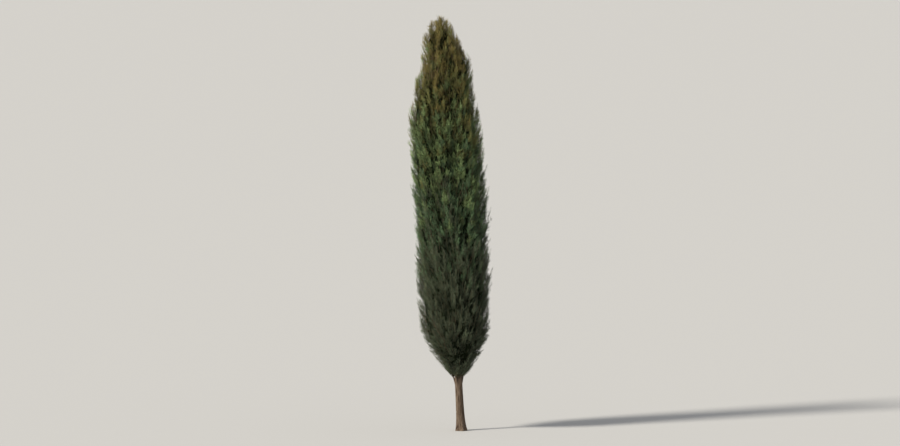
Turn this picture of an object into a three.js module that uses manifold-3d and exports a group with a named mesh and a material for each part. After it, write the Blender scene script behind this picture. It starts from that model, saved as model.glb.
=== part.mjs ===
// A pencil cypress, the narrow upright form of the Italian cypress, rooted in level ground.
// Millimetres, +Z up. The origin is the middle of the trunk's flat cut at ground level.
// The trunk runs from the ground to near the top. Steep boughs leave it close to its line and end where
// they enter the masses of foliage. The masses share the crown's space out between them: each is a dense
// core with sprays standing out of it, and keeps clear of the trunk, the boughs and the other masses.
import * as THREE from "three";
import { mergeVertices } from "three/addons/utils/BufferGeometryUtils.js";
import Module from "manifold-3d";

// Driving dimensions
const TREE_HEIGHT = 10500; // ground to the tip of the top spray
const CROWN_FOOT = 1300; // ground to the lowest foliage
const CROWN_RADIUS = 970; // reach of the foliage from the trunk's line, without the crown's lobes
const FOOT_SHARE = 0.16; // share of the crown's height in which its foot widens to that
const SPIRE_SHARE = 0.69; // how far up the crown it starts to draw in to its tip
const LEAN = 530; // how far the tip stands to the side of the foot, towards -X
const TRUNK_TIP = 9950; // height of the trunk's own tip, inside the top mass
const TRUNK_RADIUS = 105; // trunk's radius without its root flare
const FLARE = 50; // extra radius of the root flare at the ground
const SPRAY_COUNT = 320; // sprays that are tried, even on all sides
const SPRAY_LENGTH = 760;
const CORE_DEPTH = 170; // how far the masses' cores stay under the crown's surface

// Trunk
const TRUNK_TIP_RADIUS = 11;
const TRUNK_TAPER = 0.85; // exponent of the taper, 1 for a plain cone
const FLARE_HEIGHT = 210; // height in which the flare falls to a third
const FLARE_ROOTS = 5;
const FLARE_RIPPLE = 0.3; // how far the flare swells over each root, as a share of it
const TRUNK_SIDES = 15;
const TRUNK_RINGS = 14;
const RING_CROWDING = 1.7; // exponent that brings the rings closer together near the ground

// Crown
const FOOT_BULGE = 0.93; // exponent that rounds the crown's foot
const SPIRE_CURVE = 1.2; // exponents that round the spire to a blunt point
const SPIRE_BULGE = 0.42;
const LOBES = 0.05; // unevenness of the crown's outline, as a share of its radius
const THREE_LOBES_FROM = -1.9; // turns, in radians, from which the lobes are counted
const TWO_LOBES_FROM = -0.4;
const LONG_SWELL = 1500; // how fast the lobes turn round the crown with height
const SHORT_SWELL = 1300;
const SHOULDER_HEIGHT = 9330; // here the crown is fuller on the +X side and slimmer on the other
const SHOULDER_TALL = 400;
const SHOULDER_OUT = 0.22;

// Masses, in tiers up the crown: the height of their middles, the turn of the first one and the radius of
// their boughs at the trunk
const TIERS = [
  { name: "foot", count: 5, height: 2350, turn: 24, bough: 25 },
  { name: "lower", count: 6, height: 4000, turn: 56, bough: 25 },
  { name: "middle", count: 6, height: 5700, turn: 26, bough: 22 },
  { name: "upper", count: 5, height: 7350, turn: 0, bough: 19 },
  { name: "top", count: 4, height: 8850, turn: 40, bough: 14 },
];
const TIP_MIDDLE = 10150; // height of the middle of the top mass, which stands on the trunk's tip
const TIP_BOUGH = 16;
const MASS_SEED = 71;
const HEIGHT_JITTER = 260;
const TURN_JITTER = 8; // degrees
const MIDDLE_OUT = 0.6; // reach of a mass's middle, as a share of the crown's radius
const UPRIGHT = 0.4; // how much heights count where masses meet: less than 1 makes them tall
const FOOT_DEPTH = 70; // how far inside its mass a bough ends

// Boughs
const BOUGH_RISE = 620; // height from a bough's root on the trunk's line to its tip
const BOUGH_CURVE = 0.8; // exponent of a bough's line, under 1 to bend it upright
const BOUGH_TAPER = 0.62; // radius at a bough's tip, as a share of its root
const BOUGH_SIDES = 6;
const BOUGH_RINGS = 3;
const STEM_RINGS = 2;
const STEM_LENGTH = 420; // how far a mass's own stem goes on in its core
const SEAT_GAP = 0.35; // clearance between pieces that meet

// Cores
const CORE_SIDES = 20; // sides and rings of the whole crown's core, before it is shared out
const CORE_RINGS = 14;
const CORE_THIN = 0.3; // where the crown is slender the cores stay under its surface by this share of it
const CORE_GAP = 9; // from a core to the face between two masses
const HOLLOW = 200; // bare space round the trunk's line, which holds the boughs
const HOLLOW_SHARE = 0.38; // the most of the crown's radius that it takes
const HOLLOW_LEVEL = 2500; // below this height it stays as wide as here
const HOLLOW_SIDES = 9;
const HOLLOW_RINGS = 5;
const TRUNK_CLEAR = 34; // from the trunk to the foliage
const CORE_TOP = 10330; // the top core ends here
const TIP_ROUND = 380; // height in which it closes to a point
const FINEST = 2; // foliage edges shorter than this are closed up

// Sprays: toothed blades, one for each plume of twigs
const SPRAY_SEED = 4127;
const GOLDEN_TURN = Math.PI * (3 - Math.sqrt(5));
const SPRAY_WIDTH = 0.37; // full width, as a share of the length
const SPRAY_THICK = 0.075; // full thickness, as a share of the length
const SPRAY_LEAN = 23; // degrees that a spray leans out from the crown's surface
const SLOPE_STEP = 500; // height over which the surface's slope is taken
const SPRAY_LEAN_JITTER = 7;
const SPRAY_TURN_JITTER = 0.6; // radians that its face turns either way
const SPRAY_LENGTH_JITTER = 0.2;
const SPRAY_SHORTEST = 0.4; // length of the sprays where the crown is slender, as a share of the full length
const SPRAY_FULL_REACH = 750; // crown's radius from which they have their full length
const SPRAY_IN = 0.05; // how far some tips stay inside the crown's surface, as a share of its radius
const LOWEST_TIP = 1500; // height of the lowest sprays' tips
const HIGHEST_TIP = 10440; // the tree's tip has sprays of its own above this
const SPOT_STEPS = 200; // steps in which the crown's surface is summed up
const SPOT_EXTRA = 60; // radius that is added there, so that slender parts get sprays too
const SPOT_JITTER = 70; // how far a spray's tip may stand from its even place
const SPRAY_CLEAR = 5; // from a spray to the face between two masses
const LIMB_CLEAR = 12; // from foliage to any bough
const NARROWER = [1, 1, 1, 0.8, 0.8, 0.6, 0.6, 0.45, 0.45]; // a spray that doesn't fit is tried narrower
// Half of a spray's outline between its root and its tip: share of the length, share of the half width
const SPRAY_OUTLINE = [
  [0.36, 1.0],
  [0.48, 0.55],
  [0.7, 0.7],
];
const SPRAY_MIDDLE = 0.45;
const LEAST_SPOT = 45; // a spray's root keeps this far from the trunk's line
const TIP_LENGTH = 480; // the tree's top spray
const TIP_RING = 4; // shorter sprays round it
const TIP_SHORTER = 0.85;
const TIP_LEAN = 15; // degrees that they lean out
const TIP_STEP = 15; // each starts this much higher than the last
const TIP_WIDTH = 0.36;

// Twigs
const SUNK_SHARE = 0.05; // a spray with less of itself in the core than this gets a twig of its own
const TWIG_RADIUS = 11;
const TWIG_TAPER = 0.6;
const TWIG_DROP = 260; // how far below a spray's root its twig leaves the stem's line
const TWIG_LOWEST = 80; // least height of that place over the bough's tip
const TWIG_INTO = 0.3; // how far up the spray its twig reaches

const wasm = await Module();
wasm.setup();

const smooth = (t) => t * t * (3 - 2 * t);
const mix = THREE.MathUtils.lerp;
const clamp = THREE.MathUtils.clamp;
const radians = THREE.MathUtils.degToRad;
const around = (turn, reach, z) => new THREE.Vector3(reach * Math.cos(turn), reach * Math.sin(turn), z);

// The plant's own number sequence: each draw is the last number times 48271, modulo the prime 2^31 - 1.
// It returns a function that gives the next number, from -1 to 1.
function dealer(seed) {
  let state = seed;
  return () => {
    state = (state * 48271) % 2147483647;
    return (2 * state) / 2147483647 - 1;
  };
}

// Everything is worked out round a plumb line. The last step leans the whole tree over by this shear.
const LEANING = new THREE.Matrix4().makeShear(0, 0, 0, 0, -LEAN / TREE_HEIGHT, 0);

// Outlines

function trunkRadius(z, turn = 0) {
  const left = clamp(1 - z / TRUNK_TIP, 0, 1);
  const taper = mix(TRUNK_TIP_RADIUS, TRUNK_RADIUS, Math.pow(left, TRUNK_TAPER));
  const roots = 1 + FLARE_RIPPLE * Math.cos(FLARE_ROOTS * turn);
  return taper + FLARE * Math.exp(-z / FLARE_HEIGHT) * roots;
}

// The crown's radius at a height: a rounded foot, even sides with slow lobes, and a blunt spire.
function crownRadius(z, turn) {
  const share = clamp((z - CROWN_FOOT) / (TREE_HEIGHT - CROWN_FOOT), 0, 1);
  const down = Math.max(0, 1 - share / FOOT_SHARE);
  const up = Math.max(0, share - SPIRE_SHARE) / (1 - SPIRE_SHARE);
  const foot = Math.pow(1 - down * down, FOOT_BULGE);
  const spire = Math.pow(1 - Math.pow(up, SPIRE_CURVE), SPIRE_BULGE);
  const three = Math.sin(3 * turn + z / LONG_SWELL + THREE_LOBES_FROM);
  const two = Math.sin(2 * turn - z / SHORT_SWELL + TWO_LOBES_FROM);
  const off = (z - SHOULDER_HEIGHT) / SHOULDER_TALL;
  const shoulder = SHOULDER_OUT * Math.exp(-off * off) * Math.cos(turn);
  return CROWN_RADIUS * foot * spire * (1 + LOBES * (three + two) + shoulder);
}

function coreRadius(z, turn) {
  const radius = crownRadius(z, turn);
  const over = clamp((z - CORE_TOP + TIP_ROUND) / TIP_ROUND, 0, 1);
  return (radius - Math.min(CORE_DEPTH, CORE_THIN * radius)) * Math.sqrt(1 - over * over);
}

function hollowRadius(z) {
  return Math.min(HOLLOW, HOLLOW_SHARE * crownRadius(Math.max(z, HOLLOW_LEVEL), 0));
}

// Masses

function makeMasses() {
  const jitter = dealer(MASS_SEED);
  const made = [];
  for (const tier of TIERS) {
    for (let i = 0; i < tier.count; i++) {
      const turn = radians(tier.turn + (360 * i) / tier.count + TURN_JITTER * jitter());
      const height = tier.height + HEIGHT_JITTER * jitter();
      const reach = MIDDLE_OUT * crownRadius(height, turn);
      const middle = around(turn, reach, height);
      made.push({ name: tier.name + "_" + (i + 1), turn, reach, middle, bough: tier.bough });
    }
  }
  const middle = new THREE.Vector3(0, 0, TIP_MIDDLE);
  made.push({ name: "tip", turn: 0, reach: 0, middle, bough: TIP_BOUGH, onTip: true });
  return made;
}

// The flat face halfway between two masses. Heights count less there, so that masses are tall.
function faceBetween(own, other) {
  const normal = own.middle.clone().sub(other.middle);
  normal.z *= UPRIGHT * UPRIGHT;
  const halfway = own.middle.clone().lerp(other.middle, 0.5);
  return new THREE.Plane().setFromNormalAndCoplanarPoint(normal.normalize(), halfway);
}

// How far inside its mass's own space a point is, short of the faces to all other masses.
function depthIn(mass, point) {
  return Math.min(...mass.faces.map((face) => face.distanceToPoint(point)));
}

// A bough ends in the hollow round the trunk, a little above the lowest place where its mass's core
// comes to the hollow on the bough's side.
function footOf(mass) {
  let z = mass.middle.z;
  while (depthIn(mass, around(mass.turn, HOLLOW, z)) > CORE_GAP && coreRadius(z, mass.turn) > HOLLOW) z -= 5;
  return z + FOOT_DEPTH;
}

const masses = makeMasses();
for (const mass of masses) {
  mass.faces = masses.filter((other) => other !== mass).map((other) => faceBetween(mass, other));
  mass.foot = mass.onTip ? TRUNK_TIP : footOf(mass);
  mass.root = mass.foot - BOUGH_RISE;
  mass.out = mass.onTip ? 0 : hollowRadius(mass.foot) - BOUGH_TAPER * mass.bough - LIMB_CLEAR;
}

function ownerOf(point) {
  return masses.reduce((best, mass) => (depthIn(mass, point) > depthIn(best, point) ? mass : best));
}

// The line of a mass's bough, and of the stem that goes on from it towards the mass's middle.
function limbPoint(mass, z) {
  const risen = clamp((z - mass.root) / BOUGH_RISE, 0, 1);
  const onwards = smooth(clamp((z - mass.foot) / (mass.middle.z - mass.foot), 0, 1));
  const reach = mix(mass.out * Math.pow(risen, BOUGH_CURVE), mass.reach, onwards);
  return around(mass.turn, reach, z);
}

function limbRadius(mass, z) {
  const risen = clamp((z - mass.root) / BOUGH_RISE, 0, 1);
  const onwards = clamp((z - mass.foot) / STEM_LENGTH, 0, 1);
  return mass.bough * mix(1, BOUGH_TAPER, risen) * mix(1, BOUGH_TAPER, onwards);
}

function clearOfBoughs(point) {
  return masses.every((mass) => {
    if (mass.onTip || point.z < mass.root || point.z > mass.foot + LIMB_CLEAR) return true;
    const away = limbPoint(mass, point.z).distanceTo(point);
    return away > limbRadius(mass, point.z) + LIMB_CLEAR;
  });
}

function clearOfTrunk(point) {
  if (point.z > TRUNK_TIP + TRUNK_CLEAR) return true;
  return Math.hypot(point.x, point.y) > trunkRadius(point.z) + TRUNK_CLEAR;
}

// Solids

// A closed solid of manifold-3d from a three.js geometry.
function solidOf(geometry) {
  geometry.deleteAttribute("normal");
  geometry.deleteAttribute("uv");
  const merged = mergeVertices(geometry, 1e-3);
  return new wasm.Manifold(
    new wasm.Mesh({
      numProp: 3,
      vertProperties: new Float32Array(merged.getAttribute("position").array),
      triVerts: new Uint32Array(merged.index.array),
    }),
  );
}

// The largest piece of a solid: scraps and sealed hollows are left out.
function wholeOf(solid) {
  return solid.decompose().reduce((best, piece) => (piece.volume() > best.volume() ? piece : best));
}

// A closed tube with level sections, from a cylinder. heightAt gives the height at each share of its
// length, centreAt and radiusAt where each section is and how wide at each turn.
function levelTube(sides, rings, heightAt, centreAt, radiusAt) {
  const tube = new THREE.CylinderGeometry(1, 1, 1, sides, rings);
  tube.rotateX(Math.PI / 2);
  const place = tube.getAttribute("position");
  const corner = new THREE.Vector3();
  for (let i = 0; i < place.count; i++) {
    corner.fromBufferAttribute(place, i);
    const z = heightAt(corner.z + 0.5);
    const middle = centreAt(z);
    const turn = Math.atan2(corner.y, corner.x);
    const onRim = Math.hypot(corner.x, corner.y) > 0.5;
    const out = around(turn, onRim ? radiusAt(z, turn) : 0, 0);
    place.setXYZ(i, middle.x + out.x, middle.y + out.y, z);
  }
  return tube;
}

const plumb = () => new THREE.Vector3();

// The trunk, or with a clearance, the seat that is cut for it out of what meets it.
function trunkTube(clearance) {
  return levelTube(
    TRUNK_SIDES,
    TRUNK_RINGS,
    (t) => TRUNK_TIP * Math.pow(t, RING_CROWDING) + mix(-clearance, clearance, t),
    plumb,
    (z, turn) => trunkRadius(Math.max(z, 0), turn) + clearance,
  );
}

function limbTube(mass, from, to, rings) {
  return levelTube(
    BOUGH_SIDES,
    rings,
    (t) => mix(from, to, t),
    (z) => limbPoint(mass, z),
    (z) => limbRadius(mass, z),
  );
}

// The hollow round the trunk. Its flat sides are its radius away from the trunk's line.
function hollowTube() {
  return levelTube(
    HOLLOW_SIDES,
    HOLLOW_RINGS,
    (t) => mix(0, TRUNK_TIP + TRUNK_CLEAR, t),
    plumb,
    (z) => hollowRadius(z) / Math.cos(Math.PI / HOLLOW_SIDES),
  );
}

// The whole crown's core, rounded at both ends, which the masses share out.
function crownTube() {
  return levelTube(
    CORE_SIDES,
    CORE_RINGS,
    (t) => mix(CROWN_FOOT, CORE_TOP, (1 - Math.cos(Math.PI * t)) / 2),
    plumb,
    (z, turn) => Math.max(coreRadius(z, turn), 1),
  );
}

// A toothed blade, thick at its middle and sharp round its outline.
function bladeGeometry(spray) {
  const { root, along, across, face, length, width } = spray;
  const at = (share, side, out) =>
    root
      .clone()
      .addScaledVector(along, share * length)
      .addScaledVector(across, (side * width) / 2)
      .addScaledVector(face, out);
  const rim = [at(0, 0, 0)];
  for (const [share, side] of SPRAY_OUTLINE) rim.push(at(share, side, 0));
  rim.push(at(1, 0, 0));
  for (const [share, side] of [...SPRAY_OUTLINE].reverse()) rim.push(at(share, -side, 0));
  const thick = (SPRAY_THICK * length) / 2;
  const front = at(SPRAY_MIDDLE, 0, thick);
  const back = at(SPRAY_MIDDLE, 0, -thick);
  const corners = [];
  rim.forEach((corner, i) => {
    const next = rim[(i + 1) % rim.length];
    corners.push(front, corner, next, back, next, corner);
  });
  return new THREE.BufferGeometry().setFromPoints(corners);
}

function twigEnds(spray) {
  const { mass, root, along, length } = spray;
  const from = limbPoint(mass, clamp(root.z - TWIG_DROP, mass.foot + TWIG_LOWEST, mass.middle.z));
  return [from, root.clone().addScaledVector(along, TWIG_INTO * length)];
}

// A three-sided twig from the stem's line up and out into the spray.
function twigGeometry(spray) {
  const [from, to] = twigEnds(spray);
  const way = to.clone().sub(from);
  const twig = new THREE.CylinderGeometry(TWIG_TAPER * TWIG_RADIUS, TWIG_RADIUS, way.length(), 3, 1);
  twig.translate(0, way.length() / 2, 0);
  const upright = new THREE.Vector3(0, 1, 0);
  twig.applyQuaternion(new THREE.Quaternion().setFromUnitVectors(upright, way.normalize()));
  return twig.translate(from.x, from.y, from.z);
}

// Sprays

// Heights that share the crown's surface out evenly.
function evenHeight(share) {
  let total = 0;
  const sums = [];
  for (let i = 0; i < SPOT_STEPS; i++) {
    total += crownRadius(mix(LOWEST_TIP, TREE_HEIGHT, (i + 0.5) / SPOT_STEPS), 0) + SPOT_EXTRA;
    sums.push(total);
  }
  const found = sums.findIndex((sum) => sum >= share * total);
  return mix(LOWEST_TIP, TREE_HEIGHT, (found + 0.5) / SPOT_STEPS);
}

// A spray with its tip near a spot of the crown's surface. It leans out a little from the surface below
// it, and belongs to the mass that its middle is in.
function sprayAt(spot, narrower, jitter) {
  const tipZ = Math.min(spot.height + SPOT_JITTER * jitter(), HIGHEST_TIP);
  const turn = spot.turn + (SPOT_JITTER * jitter()) / Math.max(crownRadius(tipZ, 0), HOLLOW);
  const reach = crownRadius(tipZ, turn) * (1 - SPRAY_IN * Math.abs(jitter()));
  const slope = (crownRadius(tipZ, turn) - crownRadius(tipZ - SLOPE_STEP, turn)) / SLOPE_STEP;
  const lean = Math.max(Math.atan(slope) + radians(SPRAY_LEAN + SPRAY_LEAN_JITTER * jitter()), 0);
  const faceTurn = turn + SPRAY_TURN_JITTER * jitter();
  const slender = mix(SPRAY_SHORTEST, 1, clamp(reach / SPRAY_FULL_REACH, 0, 1));
  const wished = SPRAY_LENGTH * slender * Math.sqrt(narrower) * (1 + SPRAY_LENGTH_JITTER * jitter());
  const length = Math.min(wished, (tipZ - CROWN_FOOT) / Math.cos(lean));
  const out = Math.min(Math.sin(lean), Math.max(0, reach - LEAST_SPOT) / length);
  const along = around(turn, out, Math.sqrt(1 - out * out));
  const across = new THREE.Vector3().crossVectors(along, around(faceTurn, 1, 0)).normalize();
  const face = new THREE.Vector3().crossVectors(across, along);
  const root = around(turn, reach, tipZ).addScaledVector(along, -length);
  const mass = ownerOf(root.clone().addScaledVector(along, SPRAY_MIDDLE * length));
  return { mass, root, along, across, face, length, width: SPRAY_WIDTH * length * narrower };
}

function samplesOf(spray) {
  const { root, along, across, face, length, width } = spray;
  const [from, to] = twigEnds(spray);
  const points = [0.25, 0.5, 0.75, 1].map((share) => from.clone().lerp(to, share));
  const middle = root.clone().addScaledVector(along, SPRAY_MIDDLE * length);
  const thick = (SPRAY_THICK * length) / 2;
  points.push(middle.clone().addScaledVector(face, thick), middle.addScaledVector(face, -thick));
  for (const [share, side] of [[0, 0], [1, 0], ...SPRAY_OUTLINE]) {
    for (const hand of [1, -1]) {
      const point = root.clone().addScaledVector(along, share * length);
      points.push(point.addScaledVector(across, (hand * side * width) / 2));
    }
  }
  return points;
}

function fits(spray) {
  return samplesOf(spray).every((point) => {
    return depthIn(spray.mass, point) > SPRAY_CLEAR && clearOfBoughs(point) && clearOfTrunk(point);
  });
}

// Tips spiral up the crown's surface by the golden turn.
function makeSprays() {
  const jitter = dealer(SPRAY_SEED);
  const made = [];
  for (let i = 0; i < SPRAY_COUNT; i++) {
    const spot = { turn: i * GOLDEN_TURN, height: evenHeight((i + 0.5) / SPRAY_COUNT) };
    for (const narrower of NARROWER) {
      const spray = sprayAt(spot, narrower, jitter);
      if (!fits(spray)) continue;
      made.push(spray);
      break;
    }
  }
  return made;
}

// The sprays of the tree's tip: one upright and a ring of shorter ones that lean out round it.
function tipSprays() {
  const mass = masses.find((one) => one.onTip);
  const made = [];
  for (let i = 0; i <= TIP_RING; i++) {
    const upright = i === TIP_RING;
    const turn = (2 * Math.PI * i) / TIP_RING;
    const lean = upright ? 0 : radians(TIP_LEAN);
    const length = upright ? TIP_LENGTH : TIP_SHORTER * TIP_LENGTH;
    const along = around(turn, Math.sin(lean), Math.cos(lean));
    const across = around(turn + Math.PI / 2, 1, 0);
    const face = new THREE.Vector3().crossVectors(across, along);
    const root = new THREE.Vector3(0, 0, TREE_HEIGHT - TIP_LENGTH + (upright ? 0 : TIP_STEP * (i - 1)));
    made.push({ mass, root, along, across, face, length, width: TIP_WIDTH * length });
  }
  return made;
}

// Pieces

const trunkSeat = solidOf(trunkTube(SEAT_GAP));
const hollow = solidOf(hollowTube());
const crownCore = solidOf(crownTube());

function boughSolid(mass) {
  const bough = solidOf(limbTube(mass, mass.root, mass.foot, BOUGH_RINGS));
  return wholeOf(bough.subtract(trunkSeat));
}

function coreSolid(mass) {
  let core = crownCore;
  for (const face of mass.faces) {
    core = core.trimByPlane(face.normal.toArray(), CORE_GAP - face.constant);
  }
  return wholeOf(core.subtract(hollow));
}

function massSolid(mass, sprays) {
  const core = coreSolid(mass);
  let leafy = core;
  for (const spray of sprays) {
    const blade = solidOf(bladeGeometry(spray));
    leafy = leafy.add(blade);
    if (core.intersect(blade).volume() < SUNK_SHARE * blade.volume()) {
      leafy = leafy.add(solidOf(twigGeometry(spray)));
    }
  }
  leafy = wholeOf(leafy.simplify(FINEST));
  const stem = limbTube(mass, mass.foot + SEAT_GAP, mass.foot + STEM_LENGTH, STEM_RINGS);
  return wholeOf(leafy.add(solidOf(stem)));
}

function meshOf(name, solid, material) {
  const made = solid.getMesh();
  const geometry = new THREE.BufferGeometry();
  geometry.setAttribute("position", new THREE.BufferAttribute(made.vertProperties, 3));
  geometry.setIndex(new THREE.BufferAttribute(made.triVerts, 1));
  geometry.applyMatrix4(LEANING);
  geometry.computeVertexNormals();
  const mesh = new THREE.Mesh(geometry, material);
  mesh.name = name;
  return mesh;
}

const bark = new THREE.MeshStandardMaterial({ color: 0x6b5a4a, roughness: 0.95, metalness: 0 });
const foliage = new THREE.MeshStandardMaterial({ color: 0x3b4f2c, roughness: 0.85, metalness: 0 });

const tree = new THREE.Group();
tree.add(meshOf("trunk", solidOf(trunkTube(0)), bark));
const sprays = [...makeSprays(), ...tipSprays()];
for (const mass of masses) {
  if (!mass.onTip) tree.add(meshOf("bough_" + mass.name, boughSolid(mass), bark));
  const own = sprays.filter((spray) => spray.mass === mass);
  tree.add(meshOf("foliage_" + mass.name, massSolid(mass, own), foliage));
}

export default tree;
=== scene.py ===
"""Looks of a pencil cypress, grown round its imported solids.

The tree grows by the same rule as its solids: a crown shared out among masses, each with its bough and
stem, and plumes whose tips spiral up the crown's surface. Here the plumes go on to shoots, sprays and
leaves. Everything is worked out round a plumb line, and the last step leans the whole tree over.
"""
import math
from collections import namedtuple
from functools import lru_cache

import bpy
import numpy as np
from bpy.props import FloatProperty, FloatVectorProperty, IntProperty, PointerProperty
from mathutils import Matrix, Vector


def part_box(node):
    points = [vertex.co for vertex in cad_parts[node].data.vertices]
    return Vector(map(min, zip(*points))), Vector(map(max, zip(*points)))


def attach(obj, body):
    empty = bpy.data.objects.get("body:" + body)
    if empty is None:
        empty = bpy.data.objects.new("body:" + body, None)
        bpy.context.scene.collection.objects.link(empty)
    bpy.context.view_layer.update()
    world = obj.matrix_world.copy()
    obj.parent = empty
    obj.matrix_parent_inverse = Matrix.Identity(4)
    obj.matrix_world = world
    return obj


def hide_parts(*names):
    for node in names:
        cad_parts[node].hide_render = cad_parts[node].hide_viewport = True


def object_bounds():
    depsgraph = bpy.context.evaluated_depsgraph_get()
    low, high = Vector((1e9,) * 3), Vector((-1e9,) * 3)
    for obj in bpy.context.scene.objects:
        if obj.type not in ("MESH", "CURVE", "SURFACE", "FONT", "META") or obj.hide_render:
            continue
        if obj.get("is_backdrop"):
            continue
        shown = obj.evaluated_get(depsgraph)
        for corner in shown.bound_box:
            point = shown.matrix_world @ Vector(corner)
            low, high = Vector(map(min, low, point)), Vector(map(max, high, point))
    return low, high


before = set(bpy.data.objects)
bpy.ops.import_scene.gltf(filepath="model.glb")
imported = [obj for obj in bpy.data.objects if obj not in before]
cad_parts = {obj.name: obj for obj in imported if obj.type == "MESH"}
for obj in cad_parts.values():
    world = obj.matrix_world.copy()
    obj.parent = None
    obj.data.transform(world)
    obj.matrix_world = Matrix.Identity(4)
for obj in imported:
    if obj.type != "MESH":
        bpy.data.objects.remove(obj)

bl_info = {
    "name": "Pencil cypress",
    "version": (1, 0, 0),
    "blender": (4, 5, 0),
    "location": "3D View > Sidebar > Cypress",
    "description": "Grows the bark, twigs and foliage of a pencil cypress round its solids",
    "category": "Object",
}

BODY = "root"
FOLIAGE_NODES = sorted(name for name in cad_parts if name.startswith("foliage_"))
BOUGH_NODES = sorted(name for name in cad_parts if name.startswith("bough_"))
PHOTO_SIZE = (900, 446)

# Lengths are in metres, and angles in radians where no comment says degrees.

# The plant's own number sequence, as in the solids
MULTIPLIER = 48271
PRIME = 2**31 - 1

# Crown's outline, as in the solids
FOOT_BULGE = 0.93
SPIRE_CURVE = 1.2
SPIRE_BULGE = 0.42
LOBES = 0.05  # how far each set of slow lobes swells the crown, as a share of its radius
THREE_LOBES_FROM = -1.9
TWO_LOBES_FROM = -0.4
LONG_SWELL = 1.5
SHORT_SWELL = 1.3
SHOULDER_HEIGHT = 9.33
SHOULDER_TALL = 0.4
SHOULDER_OUT = 0.22  # as a share of the crown's radius

# Trunk's outline
TRUNK_TIP_RADIUS = 0.011
TRUNK_TAPER = 0.85
FLARE_HEIGHT = 0.21
FLARE_ROOTS = 5
FLARE_RIPPLE = 0.3  # how much further the flare stands out over a root, as a share of it

# Masses: name, count, height of their middles, turn of the first in degrees, radius of their boughs
TIERS = (
    ("foot", 5, 2.35, 24, 0.025),
    ("lower", 6, 4.0, 56, 0.025),
    ("middle", 6, 5.7, 26, 0.022),
    ("upper", 5, 7.35, 0, 0.019),
    ("top", 4, 8.85, 40, 0.014),
)
TIP_MIDDLE = 10.15
TIP_BOUGH = 0.016
MASS_SEED = 71
HEIGHT_JITTER = 0.26
TURN_JITTER = 8  # in degrees
MIDDLE_OUT = 0.6  # how far out a mass's middle lies, as a share of the crown's radius
UPRIGHT = 0.4  # heights count by this share where the crown is shared out among the masses
FOOT_DEPTH = 0.07
FOOT_STEP = 0.005

# Limbs
BOUGH_RISE = 0.62
BOUGH_CURVE = 0.8
BOUGH_TAPER = 0.62
STEM_LENGTH = 0.42

# Cores, hearts and the hollow round the trunk
CORE_DEPTH = 0.17  # how far the cores lie under the crown's surface
CORE_THIN = 0.3  # the same as a share of its radius, where that is less
CORE_GAP = 0.009
CORE_TOP = 10.33
TIP_ROUND = 0.38
HEART_SINK = 0.04  # how far the hearts lie inside the cores
HOLLOW = 0.2
HOLLOW_SHARE = 0.38  # the hollow's radius as a share of the crown's, where that is less
HOLLOW_LEVEL = 2.5
TRUNK_CLEAR = 0.034

# Plumes, the large sprays of the solids
GOLDEN_TURN = math.pi * (3 - math.sqrt(5))
PLUME_SEED = 4127
PLUME_WIDTH = 0.37
PLUME_THICK = 0.075
PLUME_LEAN = 23  # in degrees, and so is its jitter
LEAN_JITTER = 7
SLOPE_STEP = 0.5
FACE_JITTER = 0.6
LENGTH_JITTER = 0.2
PLUME_SHORTEST = 0.4  # length of a plume on the plumb line, as a share of one at its full reach
PLUME_FULL_REACH = 0.75
PLUME_IN = 0.05  # how far in from the crown's surface a tip may stay, as a share of its radius
LOWEST_TIP = 1.5
HIGHEST_TIP = 10.44
SPOT_STEPS = 200
SPOT_EXTRA = 0.06  # added to the crown's radius, so that its narrow tip gets its share of plumes
SPOT_JITTER = 0.07
PLUME_CLEAR = 0.005
LIMB_CLEAR = 0.012
NARROWER = (1, 1, 1, 0.8, 0.8, 0.6, 0.6, 0.45, 0.45)  # shares of its width that a plume is tried at
PLUME_OUTLINE = ((0.36, 1.0), (0.48, 0.55), (0.7, 0.7))  # share of its length, share of its half width
PLUME_MIDDLE = 0.45
LEAST_SPOT = 0.045  # a plume's root keeps this far from the plumb line
TIP_LENGTH = 0.48
TIP_RING = 4
TIP_SHORTER = 0.85
TIP_LEAN = math.radians(15)
TIP_STEP = 0.015
TIP_WIDTH = 0.36
TWIG_DROP = 0.26
TWIG_LOWEST = 0.08
TWIG_INTO = 0.3
TWIG_TESTS = (0.25, 0.5, 0.75, 1)

# Finer plumes and grooves, which only this script makes
FINE_SEED = 9203
FINE_LENGTH = 0.54  # length of the finer plumes, as a share of the main ones
FINE_IN = 0.1  # how far in from the crown's surface some of their tips stay
FINE_EXTRA = 0.25  # like the main plumes' extra, but more of them near the tip
ROPES = 9  # upright ropes of foliage round the crown, with grooves between them
ROPE_SWAY = 3.3  # how far the ropes sway to and fro, in radians of their wave
ROPE_TALL = 1.7
ROPE_TWIST = 1.65  # how far their wave moves on with height, in radians a metre
GROOVE = 0.14  # depth of the grooves
SKIRT_COUNT = 64  # plumes that close the crown's foot round the trunk
SKIRT_TIPS = (1.42, 2.0)
SKIRT_ROOT = (1.3, 1.42)
SKIRT_REACH = (0.45, 1.0)  # how far out their tips lie, as a share of the crown's radius
SKIRT_CLEAR = 0.02
SKIRT_WIDTH = 0.36

# Shoots of a plume: share of its length where the tip is, share of its half width, share that it spans
MAIN_SHOOTS = (
    (1.0, 0.0, 0.88),
    (0.7, 0.7, 0.42),
    (0.7, -0.7, 0.42),
    (0.36, 1.0, 0.3),
    (0.36, -1.0, 0.3),
)
FINE_SHOOTS = ((1.0, 0.0, 0.88), (0.74, 0.62, 0.4), (0.6, -0.62, 0.4))
GROWTH_SEED = 5
SHOOT_SPREAD = math.radians(55)  # how far a side shoot turns out of its plume's face
SHOOT_WANDER = 0.02
BEND_UP = 0.45  # where the bend of a shoot is, as shares of its rise and of its way out
BEND_OUT = 0.85
ASIDE = np.array([0.31, 0.95, 0.02])  # no limb, twig or shoot runs this way

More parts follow.
